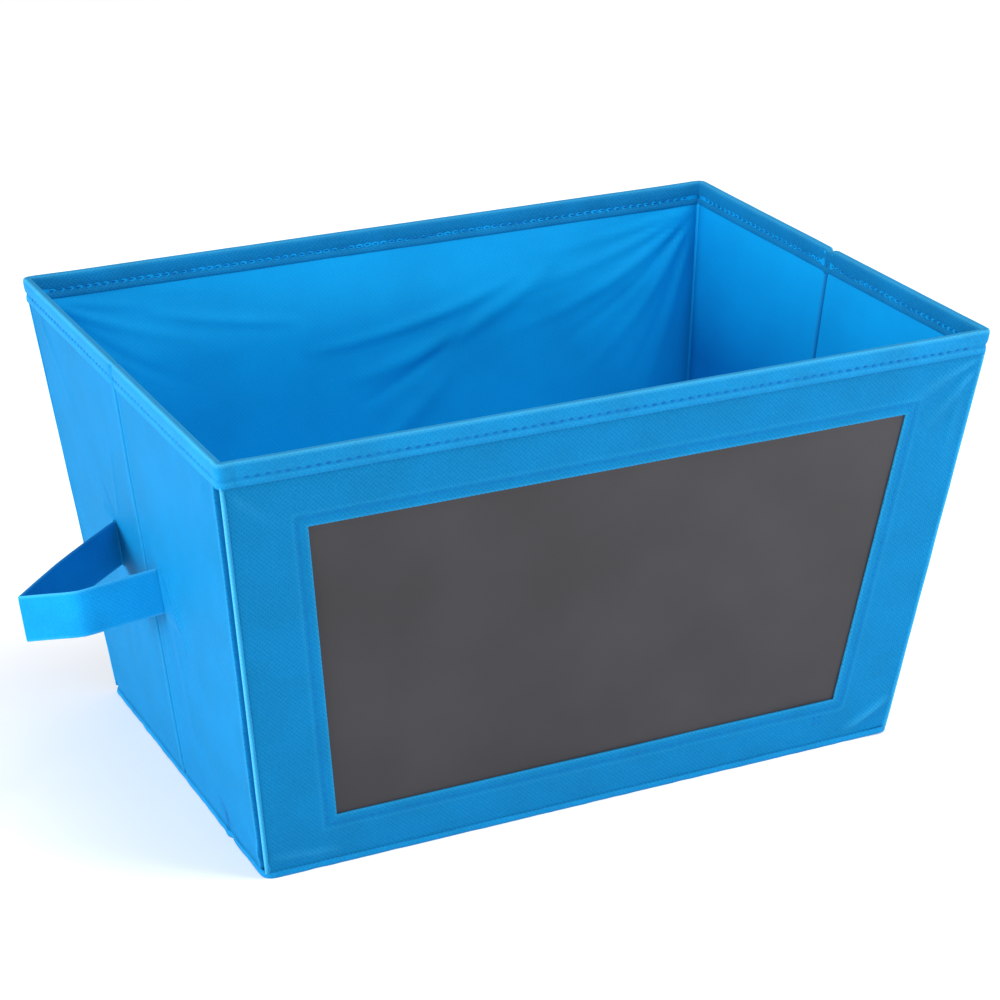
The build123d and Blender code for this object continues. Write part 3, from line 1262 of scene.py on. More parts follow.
@dataclass
class RimHem:
    """The folded and stitched band over the rim: a straight length on each panel and a bent one at each corner."""

    bin: BinMeasures
    finishes: Finishes
    corner_reach: float = 8.0 * MM
    radius: float = 3.4 * MM
    step: float = 1.2 * MM
    stitch_drop: float = 8.2
    bend_middle: float = 8.5
    level_steps: int = 5
    turn_steps: int = 8
    # How far a band that no stitch frees is pulled in, as a share of its ribs' own pull.
    held: float = 0.24

    @property
    def ribs(self) -> list[Rib]:
        """The band's cross-section, from its outer foot over the rim to its inner foot and back inside."""
        wall = self.bin.wall / MM
        foot = self.bin.hem_height / MM
        drop = self.stitch_drop
        # The last value of each rib is painted light: painted shadow along the hem's lower edge, painted shade in the
        # stitch valley, and painted highlights on the ridge below the stitches and on the rounded rim.
        outer = [
            Rib(0.1, -foot, painted_light=-0.9),
            Rib(0.75, -foot + 0.02, painted_light=-0.9),
            Rib(0.95, -foot + 0.45, painted_light=-0.1),
            Rib(0.95, -foot + 1.4, painted_light=0.0),
            Rib(0.82, -drop - 1.4, 0.3, 0.05),
            Rib(0.58, -drop - 0.6, 0.9, -0.12),
            Rib(0.54, -drop, 1.0, -0.2),
            Rib(0.58, -drop + 0.6, 0.9, -0.12),
            Rib(0.76, -drop + 1.4, 0.3),
            Rib(0.84, -5.2),
            Rib(0.8, -3.4),
            Rib(0.7, -2.0),
            Rib(0.45, -0.9, painted_light=0.12),
            Rib(0.05, -0.25, painted_light=0.3),
            Rib(-0.6, -0.03, painted_light=0.25),
        ]
        top = [Rib(-wall / 2, 0.0, painted_light=0.05)]
        inner = [Rib(-wall - rib.out * 0.7, rib.up, -rib.pull * 0.6, rib.painted_light * 0.6) for rib in reversed(outer)]
        core = [Rib(-wall + 0.1, -0.8), Rib(-0.1, -0.8)]
        return [*outer, *top, *inner, *core]

    @staticmethod
    def is_outside(rib: Rib) -> bool:
        """Whether a point of the cross-section lies outside the wall's middle."""
        return rib.out > -1.5

    def sag(self, u: float, half: float) -> float:
        """Returns how far the rim dips below its level at a distance along a wall."""
        return 0.35 * (0.5 + 0.5 * cloudy(u, 0.0, 70.0 * MM, 7.0)) * eased(half - abs(u), 0.0, 30.0 * MM)

    def placed(self, wall: Wall, station: Station, rib: Rib, is_end: bool) -> Vector:
        """Returns where a point of the band goes on a wall."""
        half = wall.half.at(self.bin.rim)
        u = station.at(half)
        up = rib.up - self.sag(u, half)
        free = eased(half - abs(u) - self.corner_reach, 0.0, 7.0 * MM)
        out = rib.out - rib.pull * (self.held + (0.42 * stitch_pull(u) - self.held) * free)
        seed, away, dent = (4.0, 1.0, 1.0) if self.is_outside(rib) else (9.0, -1.0, 0.35)
        if abs(rib.up) > 1.0 or rib.out > 0.0:
            ripple = 0.5 + 0.5 * cloudy(u, rib.up * MM * 3.0, 14.0 * MM, seed)
            out += 0.2 * ripple * free * away
        if is_end:
            dip = mound(u, 2.0 * MM)
            out -= dent * dip
            up -= 0.9 * dip
        z = self.bin.rim + up * MM
        return wall.point(u + station.share * (wall.half.at(z) - half), z, out * MM)

    def straight(
        self, name: str, wall: Wall, marks: Sequence[Station], is_end: bool
    ) -> bpy.types.Object:
        """Builds a straight length of the hem.

        Args:
            name: The piece's name.
            wall: The wall it runs on.
            marks: Its first and last column, and any between them.
            is_end: Whether it runs over an end wall's crease.

        Returns:
            The piece, on no body yet.
        """
        half = wall.half.at(self.bin.rim)
        columns = graded(marks, self.step, half)
        shape = swept(
            self.ribs,
            len(columns),
            lambda step, rib: self.placed(wall, columns[step], rib, is_end),
            lambda step: columns[step].at(half),
        )
        return piece(name, shape, self.finishes.binding)

    def bent(self, corner: Corner) -> bpy.types.Object:
        """Builds the hem's bend at a corner."""
        level, turn = self.level_steps, self.turn_steps
        path = [("long", step / level) for step in range(level + 1)]
        path += [("arc", step / turn) for step in range(1, turn)]
        path += [("end", step / level) for step in range(level + 1)]

        def place(index: int, rib: Rib) -> Vector:
            """Returns a rib's place at a step of the bend."""
            part, share = path[index]
            crest = 0.25 * (1.0 - abs(index - self.bend_middle) / self.bend_middle)
            swell = crest if self.is_outside(rib) else 0.0
            lift = (rib.out + swell - rib.pull * self.held) * MM
            z = self.bin.rim + (rib.up - crest) * MM
            radius = max(self.radius + lift, 0.4 * MM)
            centre = radius - lift
            if part == "long":
                a, b = -lift, self.corner_reach + (centre - self.corner_reach) * share
            elif part == "end":
                a, b = centre + (self.corner_reach - centre) * share, -lift
            else:
                angle = share * math.pi / 2
                a = centre - radius * math.cos(angle)
                b = centre - radius * math.sin(angle)
            return corner.point(a, b, z)

        shape = swept(self.ribs, len(path), place, lambda step: step * 1.2 * MM)
        made = piece(f"{corner.name}_corner_hem", shape, self.finishes.binding)
        blend_corner(made, corner, self.corner_reach * 0.6)
        return made

    def row(self, name: str, wall: Wall, low: float, high: float, is_end: bool) -> bpy.types.Object:
        """Sews a straight length on both faces.

        Args:
            name: The piece's name.
            wall: The wall it runs on.
            low: Where it starts along the wall.
            high: Where it ends.
            is_end: Whether it runs over an end wall's crease.

        Returns:
            The stitches, on no body yet.
        """
        stitches = []
        wall_thickness = self.bin.wall / MM
        first = math.ceil(low / STITCH_PITCH + 0.3)
        last = math.floor(high / STITCH_PITCH - 0.3)
        for index in range(first, last + 1):
            station = Station(index * STITCH_PITCH)
            for out, pull, face in ((0.75, 1.0, 1.0), (-wall_thickness - 0.5, -0.6, -1.0)):
                rib = Rib(out, -self.stitch_drop, pull)
                middle = self.placed(wall, station, rib, is_end)
                slip = (index * 37 % 11 - 5) * 0.012 * MM
                stitches.append(Stitch(middle + UP * slip * 4, wall.along, wall.normal * face))
        return piece(name, StitchRow().shape(stitches), self.finishes.thread)

    def build(self) -> None:
        """Builds every length of the hem with its stitches, and the four bends."""
        reach = self.corner_reach
        for side, body in ((Side.FRONT, "front_wall"), (Side.BACK, "back_wall")):
            wall = self.bin.walls[side]
            marks = [Station(reach, -1.0), Station(-reach, 1.0)]
            made = self.straight(f"{side.value}_hem_band", wall, marks, False)
            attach(made, body)
            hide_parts(f"{side.value}_hem")
            edge = wall.half.at(self.bin.rim) - reach
            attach(self.row(f"{side.value}_hem_stitches", wall, -edge, edge, False), body)
        slit = CREASE_SLIT * MM
        for side, first, second in ((Side.LEFT, "rear", "front"), (Side.RIGHT, "front", "rear")):
            wall = self.bin.walls[side]
            edge = wall.half.at(self.bin.rim) - reach
            for half, marks, span in (
                (first, [Station(reach, -1.0), Station(-slit)], (-edge, -1.0 * MM)),
                (second, [Station(slit), Station(-reach, 1.0)], (1.0 * MM, edge)),
            ):
                made = self.straight(f"{side.value}_{half}_hem_band", wall, marks, True)
                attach(made, f"{side.value}_{half}_panel")
                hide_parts(f"{side.value}_{half}_hem")
                row = self.row(f"{side.value}_{half}_hem_stitches", wall, *span, True)
                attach(row, f"{side.value}_{half}_panel")
        for corner in self.bin.corners:
            self.bent(corner)


def blend_corner(made: bpy.types.Object, corner: Corner, reach: float) -> None:
    """Bakes a piece's place into its mesh; it is not bent between the two walls of the corner.

    Args:
        made: The piece.
        corner: The corner; the points read from it are not used.
        reach: How far from the corner the end points are taken; the points are not used.
    """
    start = corner.point(0.0, reach, 0.0)
    end = corner.point(reach, 0.0, 0.0)
    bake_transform(made)


# ---------------------------------------------------------------- corner seams


@dataclass
class CornerSeam:
    """A vertical corner: the squeezed-up edge of the long cover, the sunk hinge cloth, and the lining's seam inside."""

    bin: BinMeasures
    finishes: Finishes
    corner: Corner
    cloth: float = 0.45 * MM
    step: float = 3.0 * MM

    def heights(self, low: float, high: float) -> list[float]:
        """Returns the heights of its rows."""
        return graded_heights([low, high], self.step)

    def strip(
        self, name: str, path: Sequence[tuple[float, float, float]], low: float, high: float, shrink: bool
    ) -> bmesh.types.BMesh:
        """Sweeps a path in plan up the corner.

        Args:
            name: The piece's name, which seeds its unevenness.
            path: Distances behind the long wall's face and the end wall's, in millimetres, and painted light.
            low: Its lowest height.
            high: Its highest.
            shrink: Whether the raised parts flatten at the top and the bottom.

        Returns:
            The strip.
        """
        heights = self.heights(low, high)
        ribs = [Rib(a, b, painted_light=painted_light) for a, b, painted_light in path]
        seed = float(sum(map(ord, name)) % 50)

        def place(index: int, rib: Rib) -> Vector:
            """Returns a rib's place at a height."""
            z = heights[index]
            a, b = rib.out, rib.up
            if shrink:
                calm = eased(z, low + 1.0 * MM, low + 9.0 * MM) * eased(high - z, -1.0 * MM, 7.0 * MM)
                flatter = 0.3 + 0.7 * calm
                if a < 0:
                    a = a * flatter if calm > 0 else max(a, -0.25)
                if b < 0:
                    b *= flatter
                waver = 0.16 * cloudy(z, rib.out * MM, 22.0 * MM, seed)
                a += waver
                b += waver * 0.7
            return self.corner.point(a * MM, b * MM, z)

        return swept(ribs, len(heights), place, lambda step: heights[step], closed=False)

    def build(self) -> None:
        """Builds the outer and the inner strip."""
        # Third values are painted light: a painted highlight on the ridge and painted shade on the groove's floor.
        outer = [
            (0.3, 3.4, 0.0),
            (0.05, 2.8, 0.0),
            (-0.3, 2.3, 0.05),
            (-0.6, 1.75, 0.08),
            (-0.75, 1.15, 0.25),
            (-0.6, 0.6, 0.4),
            (-0.2, 0.25, 0.4),
            (0.35, 0.2, 0.15),
            (0.85, 0.5, -0.3),
            (1.2, 1.0, -0.7),
            (1.6, 1.5, -0.9),
            (2.2, 1.8, -0.9),
            (3.2, 1.9, -0.9),
            (4.2, 1.9, -0.9),
            (5.4, 1.9, -0.9),
        ]
        low, high = 3.4 * MM, self.bin.rim - self.bin.hem_height + 1.0 * MM
        shape = self.strip(self.corner.name, outer, low, high, True)
        face_towards(shape, self.corner.long.out + self.corner.end.out)
        made = piece(f"{self.corner.name}_corner_seam", shape, self.finishes.binding)
        thickened(made, self.cloth)
        blend_corner(made, self.corner, 4.5 * MM)
        wall = self.bin.wall / MM
        inner = [
            (wall + 0.08, wall + 4.6, 0.0),
            (wall + 0.2, wall + 3.2, 0.0),
            (wall + 0.4, wall + 1.6, 0.0),
            (wall + 0.75, wall + 0.8, 0.0),
            (wall + 1.5, wall + 0.45, 0.0),
            (wall + 3.0, wall + 0.25, 0.0),
            (wall + 4.6, wall + 0.12, 0.0),
        ]
        shape = self.strip(self.corner.name + "in", inner, 3.2 * MM, high, False)
        face_towards(shape, -self.corner.long.out - self.corner.end.out)
        made = piece(f"{self.corner.name}_lining_seam", shape, self.finishes.lining)
        thickened(made, 0.3 * MM)
        blend_corner(made, self.corner, 6.0 * MM)


# ---------------------------------------------------------------- bottom


@dataclass
class Foot:
    """The bottom cloth and the bound lip round it."""

    bin: BinMeasures
    finishes: Finishes
    radius: float = 5.0 * MM
    step: float = 3.0 * MM
    cloth: float = 0.5 * MM
    flattened: float = 0.09
    level: float = 0.58
    corner_steps: int = 6
    # Where the lip puckers on the left, along its wall, and the gap beside the pucker.
    pucker: float = 63.0 * MM
    pucker_gap: float = 67.0 * MM

    def ring(self) -> list[tuple[Vector, Vector]]:
        """Returns points round the foot at the ground, each with the direction out."""
        points: list[tuple[Vector, Vector]] = []
        order = (Side.FRONT, Side.RIGHT, Side.BACK, Side.LEFT)
        for index, side in enumerate(order):
            wall, following = self.bin.walls[side], self.bin.walls[order[(index + 1) % 4]]
            half = wall.half.foot - self.radius
            cells = math.ceil(2 * half / self.step)
            for cell in range(cells + 1):
                points.append((wall.point(-half + 2 * half * cell / cells, 0.0), wall.out))
            centre = wall.point(half, 0.0, -self.radius)
            for part in range(1, self.corner_steps):
                angle = math.pi / 2 * part / self.corner_steps
                out = wall.out * math.cos(angle) + following.out * math.sin(angle)
                points.append((centre + out * self.radius, out))
        return points

    def squashed(self, made: bpy.types.Object) -> None:
        """Hangs a piece on the back wall and gives it a mesh of its own."""
        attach(made, "back_wall")
        back = self.bin.walls[Side.BACK]
        anchor = back.point(0.0, 0.0, 0.0)
        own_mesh(made)

    def build(self) -> None:
        """Builds the lip and the bottom cloth."""
        proud = self.bin.lip_proud / MM
        # The ribs' painted light is painted shade: under the lip and where it meets the wall.
        ribs = [
            Rib(-1.6, 0.25, painted_light=-0.3),
            Rib(-0.2, 0.08, painted_light=-0.4),
            Rib(proud - 0.35, 0.25, painted_light=-0.3),
            Rib(proud, 1.0, painted_light=-0.1),
            Rib(proud, 2.0),
            Rib(proud - 0.2, 2.9),
            Rib(proud - 0.6, 3.5, painted_light=-0.1),
            Rib(-0.2, 3.6, painted_light=-0.9),
            Rib(-0.9, 3.4),
            Rib(-1.6, 2.6),
        ]
        ring = self.ring()
        corner = self.bin.walls[Side.FRONT].point(self.bin.walls[Side.FRONT].half.foot, 0.0)
        pucker = self.bin.walls[Side.LEFT].point(self.pucker, 0.0)
        gap = self.bin.walls[Side.LEFT].point(self.pucker_gap, 0.0)

        def place(index: int, rib: Rib) -> Vector:
            """Returns a rib's place round the foot."""
            point, out = ring[index]
            swell = 0.45 * cloudy(point.x, point.y, 8.0 * MM, 2.0)
            swell += 1.1 * mound((point - pucker).length, 2.2 * MM) - 0.9 * mound((point - gap).length, 1.6 * MM)
            tall = 1.0 + 0.16 * cloudy(point.x, point.y, 26.0 * MM, 6.0)
            near = mound((point - corner).length, 14.0 * MM)
            outward = rib.out + (swell if rib.out > 0 else 0.0) + 0.9 * near * (rib.up > 0.5) * (rib.out > -0.5)
            return point + out * outward * MM + UP * rib.up * tall * (1.0 + 0.1 * near) * MM

        lengths = [0.0]
        for (first, _), (second, _) in zip(ring, [*ring[1:], ring[0]]):
            lengths.append(lengths[-1] + (second - first).length)
        shape = swept(ribs, len(ring), place, lambda step: lengths[step], ring=True)
        lip = piece("bottom_seam_lip", shape, self.finishes.binding)
        self.squashed(lip)
        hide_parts("bottom_binding")
        self.bottom()

    def bottom(self) -> None:
        """Builds the bottom cloth, which sags a little between its edges."""
        low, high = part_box("bottom_sheet")
        size = high - low
        shape = bmesh.new()
        cells = round(size.x / (5.0 * MM)), round(size.y / (5.0 * MM))
        bmesh.ops.create_grid(shape, x_segments=cells[0], y_segments=cells[1], size=0.5)
        bmesh.ops.scale(shape, verts=shape.verts, vec=(size.x, size.y, 1.0))
        uv = shape.loops.layers.uv.new(CLOTH_UV)
        for face in shape.faces:
            for loop in face.loops:
                loop[uv].uv = loop.vert.co.xy
        for vertex in shape.verts:
            wave = 0.5 + 0.5 * cloudy(vertex.co.x, vertex.co.y, 38.0 * MM, 13.0)
            edge = min(size.x / 2 - abs(vertex.co.x), size.y / 2 - abs(vertex.co.y))
            vertex.co.z = (self.level - 0.04 * wave * eased(edge, 0.0, 12.0 * MM)) * MM
        cloth = thickened(piece("bottom_cloth", shape, self.finishes.lining), self.cloth)
        self.squashed(cloth)
        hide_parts("bottom_sheet")


# ---------------------------------------------------------------- straps


@dataclass
class StrapLeg(WallPart):
    """One leg of a strap handle: a flat folded band from its slit to the fold at the tip."""

    half: str
    tip: tuple[float, float] = (3.0 * MM, 66.0 * MM)
    droop: float = 2.6 * MM
    bows: tuple[float, float] = (8.5 * MM, 1.2 * MM)
    bend: float = 0.58
    turn: float = 1.6 * MM
    steps: int = 34
    folded: float = 0.2

    @property
    def name(self) -> str:
        """The end half that the leg belongs to, such as left_front."""
        return f"{self.side.value}_{self.half}"

    def read(self) -> tuple[float, float, float, float, float, float]:
        """Reads the leg's CAD node: slit, pivot's height off the wall, band's low and high edge, tail and thickness."""
        tail = [self.wall.measured(point) for point in cad_vertices(f"{self.name}_strap_tail")]
        leg = [self.wall.measured(point) for point in cad_vertices(f"{self.name}_strap_leg")]
        proud = max(point.z for point in tail)
        turned = [point.x for point in tail if point.z > proud - 0.05 * MM]
        thickness = max(turned) - min(turned)
        slit = (max(turned) + min(turned)) / 2
        far = max((point.x for point in tail), key=lambda u: abs(u - slit))
        low, high = min(point.y for point in leg), max(point.y for point in leg)
        return slit, min(point.z for point in leg) + thickness / 2, low, high, far, thickness

    def band(
        self, name: str, line: Callable[[float], tuple[float, float]], low: float, high: float, thick: float
    ) -> bpy.types.Object:
        """Sweeps the flat band along a line in the strap's plane.

        Args:
            name: The piece's name.
            line: Gives the distances along and off the wall for a share of the length.
            low: The band's lower edge, up the wall.
            high: Its upper edge.
            thick: Its thickness.

        Returns:
            The band, on no body yet.
        """
        width = (high - low) / MM
        depth = thick / MM / 2
        # Third values are painted light: painted highlights along the band's rounded edges.
        side = [(0.0, 0.0, 0.35), (0.35, 0.75, 0.25), (1.1, 1.0, 0.08), (1.9, 0.82, 0.0), (2.6, 0.98, 0.0)]
        side += [(width * share, 1.0, 0.0) for share in (0.2, 0.35, 0.5, 0.65, 0.8)]
        side += [(width - up, swell, painted_light) for up, swell, painted_light in reversed(side[1:5])]
        ribs = [Rib(swell * depth, up, painted_light=painted_light) for up, swell, painted_light in side]
        ribs.append(Rib(0.0, width, painted_light=0.35))
        ribs += [Rib(-swell * depth, up, painted_light=painted_light) for up, swell, painted_light in reversed(side[1:])]
        points = [line(step / (self.steps - 1)) for step in range(self.steps)]

        def place(index: int, rib: Rib) -> Vector:
            """Returns a rib's place along the band."""
            before, after = points[max(0, index - 1)], points[min(self.steps - 1, index + 1)]
            run = Vector((after[0] - before[0], after[1] - before[1])).normalized()
            wave = 0.1 * cloudy(index * 0.06, rib.up * 0.02, 0.25, 17.0)
            off = (rib.out + wave) * MM
            u, w = points[index][0] - run.y * off, points[index][1] + run.x * off
            droop = self.droop * (max(0.0, w) / self.tip[1]) ** 2
            return self.wall.leaning(u, low + rib.up * MM - droop, w)

        lengths = [0.0]
        for first, second in zip(points, points[1:]):
            lengths.append(lengths[-1] + math.dist(first, second))
        shape = swept(ribs, self.steps, place, lambda step: lengths[step])
        return piece(name, shape, self.finishes.strap)

    def build(self) -> None:
        """Builds the root that passes the slit and the leg that swings from it."""
        slit, pivot, low, high, far, thick = self.read()
        sign = math.copysign(1.0, slit)
        tip = self.tip[0] * self.side.facing, self.tip[1]
        bow = self.bows[HALVES.index(self.half)]

        def leg(part: float) -> tuple[float, float]:
            """Line of the leg, straight or bent once on its way to the tip."""
            start, end = (slit, pivot - 0.4 * MM), tip
            u = start[0] + (end[0] - start[0]) * part
            w = start[1] + (end[1] - start[1]) * part
            swell = part / self.bend if part < self.bend else (1.0 - part) / (1.0 - self.bend)
            swell -= 0.06 * mound(part - self.bend, 0.045)
            run = Vector((end[0] - start[0], end[1] - start[1])).normalized()
            outward = Vector((run.y, -run.x)) * (1.0 if Vector((run.y, -run.x)).x * sign > 0 else -1.0)
            return u + outward.x * bow * swell, w + outward.y * bow * swell

        made = self.band(f"{self.name}_strap_band", leg, low, high, thick)
        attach(made, f"{self.name}_strap")
        anchor = self.wall.leaning((slit + tip[0]) / 2, (low + high) / 2, (pivot + tip[1]) / 2)
        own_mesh(made)
        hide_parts(f"{self.name}_strap_leg")
        inner, turn = -0.1 * MM, self.turn

        def root(part: float) -> tuple[float, float]:
            """Line of the root: flat behind the cover, then out through the slit."""
            flat = abs(far - slit) - turn
            arc = math.pi / 2 * turn
            rise = pivot - inner - turn
            along = part * (flat + arc + rise)
            if along < flat:
                return far - sign * along, inner
            if along < flat + arc:
                angle = (along - flat) / turn
                return slit + sign * turn * (1.0 - math.sin(angle)), inner + turn * (1.0 - math.cos(angle))
            return slit, inner + turn + along - flat - arc

        tail = self.band(f"{self.name}_strap_root", root, low, high, thick)
        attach(tail, f"{self.name}_panel")
        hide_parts(f"{self.name}_strap_tail")


# ---------------------------------------------------------------- base insert


@dataclass
class BaseSleeve:
    """The loose base board's cloth sleeve: a flat tube, sewn shut at its left end and open at its right."""

    bin: BinMeasures
    finishes: Finishes
    cell: float = 5.0 * MM
    cloth: float = 0.35 * MM
    ribs_across: int = 40

    def build(self) -> None:
        """Builds the sleeve round the CAD board."""
        low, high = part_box("base_sleeve")
        half = (high.y - low.y) / 2 / MM
        thick = (high.z - low.z) / MM
        count = self.ribs_across
        flat = [half - 0.8 - (2 * half - 1.6) * index / count for index in range(count + 1)]
        upper = [Rib(y, thick) for y in flat]
        lower = [Rib(y, 0.0) for y in reversed(flat)]
        # The side folds carry a painted highlight.
        ribs = [*upper, Rib(-half, thick * 0.75, painted_light=0.3), Rib(-half, thick * 0.25, painted_light=0.3)]
        ribs += [*lower, Rib(half, thick * 0.25, painted_light=0.3), Rib(half, thick * 0.75, painted_light=0.3)]
        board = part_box("base_board")[0].x
        columns = graded_heights([low.x, board, high.x], self.cell)
        middle = (low.z + high.z) / 2

        def place(index: int, rib: Rib) -> Vector:
            """Returns a rib's place along the sleeve."""
            x = columns[index]
            shut = eased(x, low.x, board)
            z = middle + (low.z + rib.up * MM - middle) * (0.35 + 0.65 * shut)
            if rib.up > thick * 0.9:
                z += 0.25 * MM * max(0.0, cloudy(x, rib.out * MM, 34.0 * MM, 31.0)) * shut
            return Vector((x, rib.out * MM, z))

        shape = swept(ribs, len(columns), place, lambda step: columns[step])
        ends = [face for face in shape.faces if len(face.verts) > 8 and face.calc_center_median().x > 0]
        bmesh.ops.delete(shape, geom=ends, context="FACES_ONLY")
        made = piece("base_sleeve_cloth", shape, self.finishes.lining)
        thickened(made, self.cloth)
        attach(made, "base_insert")
        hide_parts("base_sleeve")


# ---------------------------------------------------------------- the studio


@dataclass(frozen=True)
class Lamp:
    """A square soft lamp."""

    name: str
    place: tuple[float, float, float]
    size: float
    power: float

    def build(self) -> None:
        """Hangs the lamp and aims it at the bin."""
        data = bpy.data.lights.new(self.name, "AREA")
        data.size = self.size
        data.energy = self.power
        lamp = bpy.data.objects.new(self.name, data)
        lamp.location = self.place
        lamp.rotation_mode = "QUATERNION"
        lamp.rotation_quaternion = (Vector((0.0, 0.0, 0.1)) - Vector(self.place)).to_track_quat("-Z", "Y")
        bpy.context.scene.collection.objects.link(lamp)


@dataclass
class Studio:
    """White floor, soft lamps, white surroundings and the camera."""

    target: tuple[float, float, float] = (-14.03 * MM, -36.34 * MM, 138.58 * MM)
    azimuth: float = -25.6
    elevation: float = 22.9
    distance: float = 1.4053
    roll: float = -0.14
    lens: float = 100.8
    surroundings: float = 0.6
    table_glow: float = 0.18
    floor_size: float = 30.0
    lamps: tuple[Lamp, ...] = (
        Lamp("key_lamp", (-2.1, -0.35, 0.34), 0.7, 60.0),
        Lamp("front_lamp", (0.85, -0.85, 0.25), 0.4, 8.0),
        Lamp("top_lamp", (0.8, -0.7, 2.4), 1.6, 44.0),
    )

    def build(self) -> None:
        """Sets up the studio."""
        for lamp in self.lamps:
            lamp.build()
        world = bpy.data.worlds.new("white_surroundings")
        world.use_nodes = True
        background = world.node_tree.nodes["Background"]
        background.inputs["Color"].default_value = WHITE
        background.inputs["Strength"].default_value = self.surroundings
        bpy.context.scene.world = world
        bpy.context.scene.view_settings.view_transform = "Standard"
        self.floor()
        self.camera()

    def floor(self) -> None:
        """Lays the floor, a slab of white paper-faced board."""
        shape = bmesh.new()
        bmesh.ops.create_cube(shape, size=1.0)
        bmesh.ops.scale(shape, verts=shape.verts, vec=(self.floor_size, self.floor_size, 0.02))
        bmesh.ops.translate(shape, verts=shape.verts, vec=(0.0, 0.0, -0.01))
        mesh = bpy.data.meshes.new("floor")
        shape.to_mesh(mesh)
        shape.free()
        paper = GrainedSurface(
            "backlit_white_paper", "#fbfbfb", "#f6f6f6", 1.2 * MM, 0.4, 0.8, 0.02 * MM, glow=self.table_glow
        )
        mesh.materials.append(paper.material())
        floor = bpy.data.objects.new("floor", mesh)
        bpy.context.scene.collection.objects.link(floor)

    def camera(self) -> None:
        """Sets up the camera at its place and makes it the scene's own."""
        azimuth, elevation = math.radians(self.azimuth), math.radians(self.elevation)
        back = Vector(
            (
                math.sin(azimuth) * math.cos(elevation),
                -math.cos(azimuth) * math.cos(elevation),
                math.sin(elevation),
            )
        )
        data = bpy.data.cameras.new("camera")
        data.lens = self.lens
        data.sensor_width = 36.0
        camera = bpy.data.objects.new("camera", data)
        camera.location = Vector(self.target) + back * self.distance
        camera.rotation_mode = "QUATERNION"
        roll = Matrix.Rotation(math.radians(self.roll), 3, "Z").to_quaternion()
        camera.rotation_quaternion = (-back).to_track_quat("-Z", "Y") @ roll
        bpy.context.scene.collection.objects.link(camera)
        bpy.context.scene.camera = camera


# ---------------------------------------------------------------- the bin


FRONT_CREASES = (
    Crease((197, 215), (150, 192), 1.2, 2.6, 2.0, Fade.FAR_END),
    Crease((195, 210), (164, 178), 1.0, 2.4, -2.0, Fade.FAR_END),
    Crease((196, 213), (156, 186), -0.9, 2.4, 0.0, Fade.FAR_END),
    Crease((192, 206), (178, 156), -0.8, 3.2, 3.0, Fade.FAR_END),
    Crease((190, 212), (183, 150), 0.8, 3.0, 1.0, Fade.FAR_END),
    Crease((173, 24), (146, 8), 1.4, 2.4, -1.5),
    Crease((174, 16), (156, 6), -1.3, 3.2),
    Crease((-172, 12), (-134, 8.5), 0.8, 2.0),
    Crease((-174, 7), (-150, 6), -0.8, 1.6),
    Crease((-194, 214), (-168, 192), 0.6, 2.4, 1.0, Fade.FAR_END),
)
END_CREASES = (
    Crease((25, 133), (45, 90), -1.6, 1.0, -3.0),
    Crease((28, 133), (48, 90), 0.8, 1.8, -3.0),
    Crease((14, 104), (10, 30), 0.8, 2.6, 1.0, Fade.FAR_END),
    Crease((28, 100), (30, 20), 0.7, 3.4, -1.0, Fade.FAR_END),
    Crease((20, 102), (19, 36), -0.6, 2.6, 0.0, Fade.FAR_END),
    Crease((-42.5, 132), (-60, 148), -1.3, 1.0, 1.0),
    Crease((-36, 132), (-30, 200), 0.6, 3.0, 1.0, Fade.FAR_END),
    Crease((-46, 100), (-54, 30), 0.7, 3.4, -1.0, Fade.FAR_END),
    Crease((-40, 102), (-41, 44), -0.5, 2.6, 0.0, Fade.FAR_END),
    Crease((70, 7), (56, 20), -1.2, 1.6, 1.0),
    Crease((64, 4), (63, 14), -1.8, 1.4),
    Crease((124, 214), (84, 170), 0.8, 3.4, 2.0, Fade.FAR_END),
    Crease((-122, 214), (-80, 166), 0.8, 3.4, -2.0, Fade.FAR_END),
    Crease((110, 8), (92, 30), 0.8, 3.0, 1.0, Fade.FAR_END),
)
BACK_LINING_CREASES = (
    Crease((-193, 217), (-78, 203), 1.3, 2.2, 3.0, Fade.FAR_END),
    Crease((-193, 216), (-60, 184), 1.5, 2.6, 5.0, Fade.FAR_END),
    Crease((-192, 214), (-52, 160), 1.7, 3.0, 8.0, Fade.FAR_END),
    Crease((-192, 212), (-84, 146), -1.2, 2.4, 6.0, Fade.FAR_END),
    Crease((-191, 211), (-96, 122), 1.4, 3.0, 7.0, Fade.FAR_END),
    Crease((-190, 206), (-120, 100), -1.0, 2.6, 5.0, Fade.FAR_END),
    Crease((-189, 202), (-134, 84), 1.1, 3.0, 4.0, Fade.FAR_END),
    Crease((-104, 200), (30, 150), 1.5, 4.5, 7.0),
    Crease((-84, 196), (54, 170), 1.2, 3.0, 5.0),
    Crease((-60, 186), (24, 136), -1.0, 3.0, 5.0),
    Crease((-40, 156), (40, 96), 1.0, 5.0, 4.0),
    Crease((192, 217), (116, 206), 1.0, 2.0, -2.0, Fade.FAR_END),
    Crease((192, 216), (98, 184), 1.3, 2.4, -4.0, Fade.FAR_END),
    Crease((191, 213), (112, 160), -1.0, 2.2, -4.0, Fade.FAR_END),
    Crease((190, 210), (122, 132), 1.2, 2.8, -5.0, Fade.FAR_END),
    Crease((188, 204), (150, 120), 0.9, 2.6, -3.0, Fade.FAR_END),
    Crease((140, 204), (52, 188), 0.9, 2.4, -2.0),
)


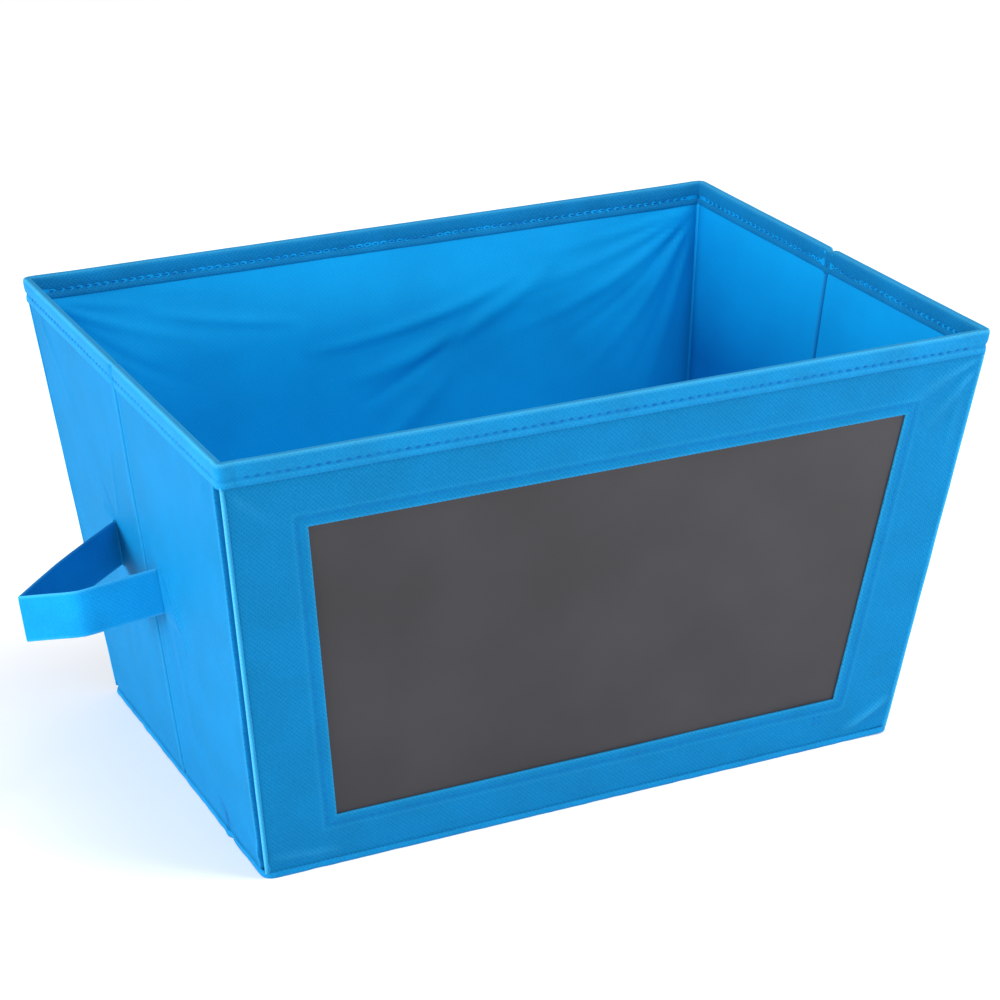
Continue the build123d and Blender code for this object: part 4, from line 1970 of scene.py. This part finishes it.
def dress_boards(finishes: Finishes) -> None:
    """Gives the CAD boards and the writing sheet their finishes."""
    for name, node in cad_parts.items():
        if name.endswith("_board") or name == "chalkboard_sheet":
            node.data.materials.clear()
            node.data.materials.append(finishes.chalkboard if name == "chalkboard_sheet" else finishes.chipboard)


def strap_measures(bin_measures: BinMeasures, side: Side) -> tuple[dict[str, float], tuple[float, float]]:
    """Returns how far an end's slits are from its crease, and the heights between which the strap lies."""
    slits = {}
    for half in HALVES:
        slits[half] = abs(StrapLeg(bin_measures, None, side, half).read()[0])
    leg = StrapLeg(bin_measures, None, side, "front").read()
    wall = bin_measures.walls[side]
    return slits, (wall.leaning(0, leg[2], 0).z, wall.leaning(0, leg[3], 0).z)


def build_ends(measures: BinMeasures, finishes: Finishes) -> None:
    """Builds the covers, linings and straps of both ends."""
    for side in (Side.LEFT, Side.RIGHT):
        slits, band = strap_measures(measures, side)
        for half in HALVES:
            name = f"{side.value}_{half}"
            EndCover(measures, finishes, side, half, slits, band, creases=END_CREASES).build()
            Lining(measures, finishes, side, f"{name}_panel", f"{name}_lining", bulge=0.5).build()
            StrapLeg(measures, finishes, side, half).build()


def main() -> None:
    """Builds the whole bin and its studio."""
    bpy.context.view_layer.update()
    Studio().build()
    measures = BinMeasures.taken()
    LOG.info("rim %.4f, wall %.4f, lip %.4f", measures.rim, measures.wall, measures.lip_top)
    finishes = Finishes()
    dress_boards(finishes)
    WindowCover(measures, finishes, Side.FRONT, "front_wall", "front_cover", creases=FRONT_CREASES).build()
    LongCover(measures, finishes, Side.BACK, "back_wall", "back_cover", seed=8.0).build()
    Lining(measures, finishes, Side.FRONT, "front_wall", "front_lining", bulge=1.5).build()
    Lining(
        measures, finishes, Side.BACK, "back_wall", "back_lining", BACK_LINING_CREASES, bulge=6.0
    ).build()
    build_ends(measures, finishes)
    RimHem(measures, finishes).build()
    for corner in measures.corners:
        CornerSeam(measures, finishes, corner).build()
    Foot(measures, finishes).build()
    BaseSleeve(measures, finishes).build()


if __name__ == "__main__":
    main()
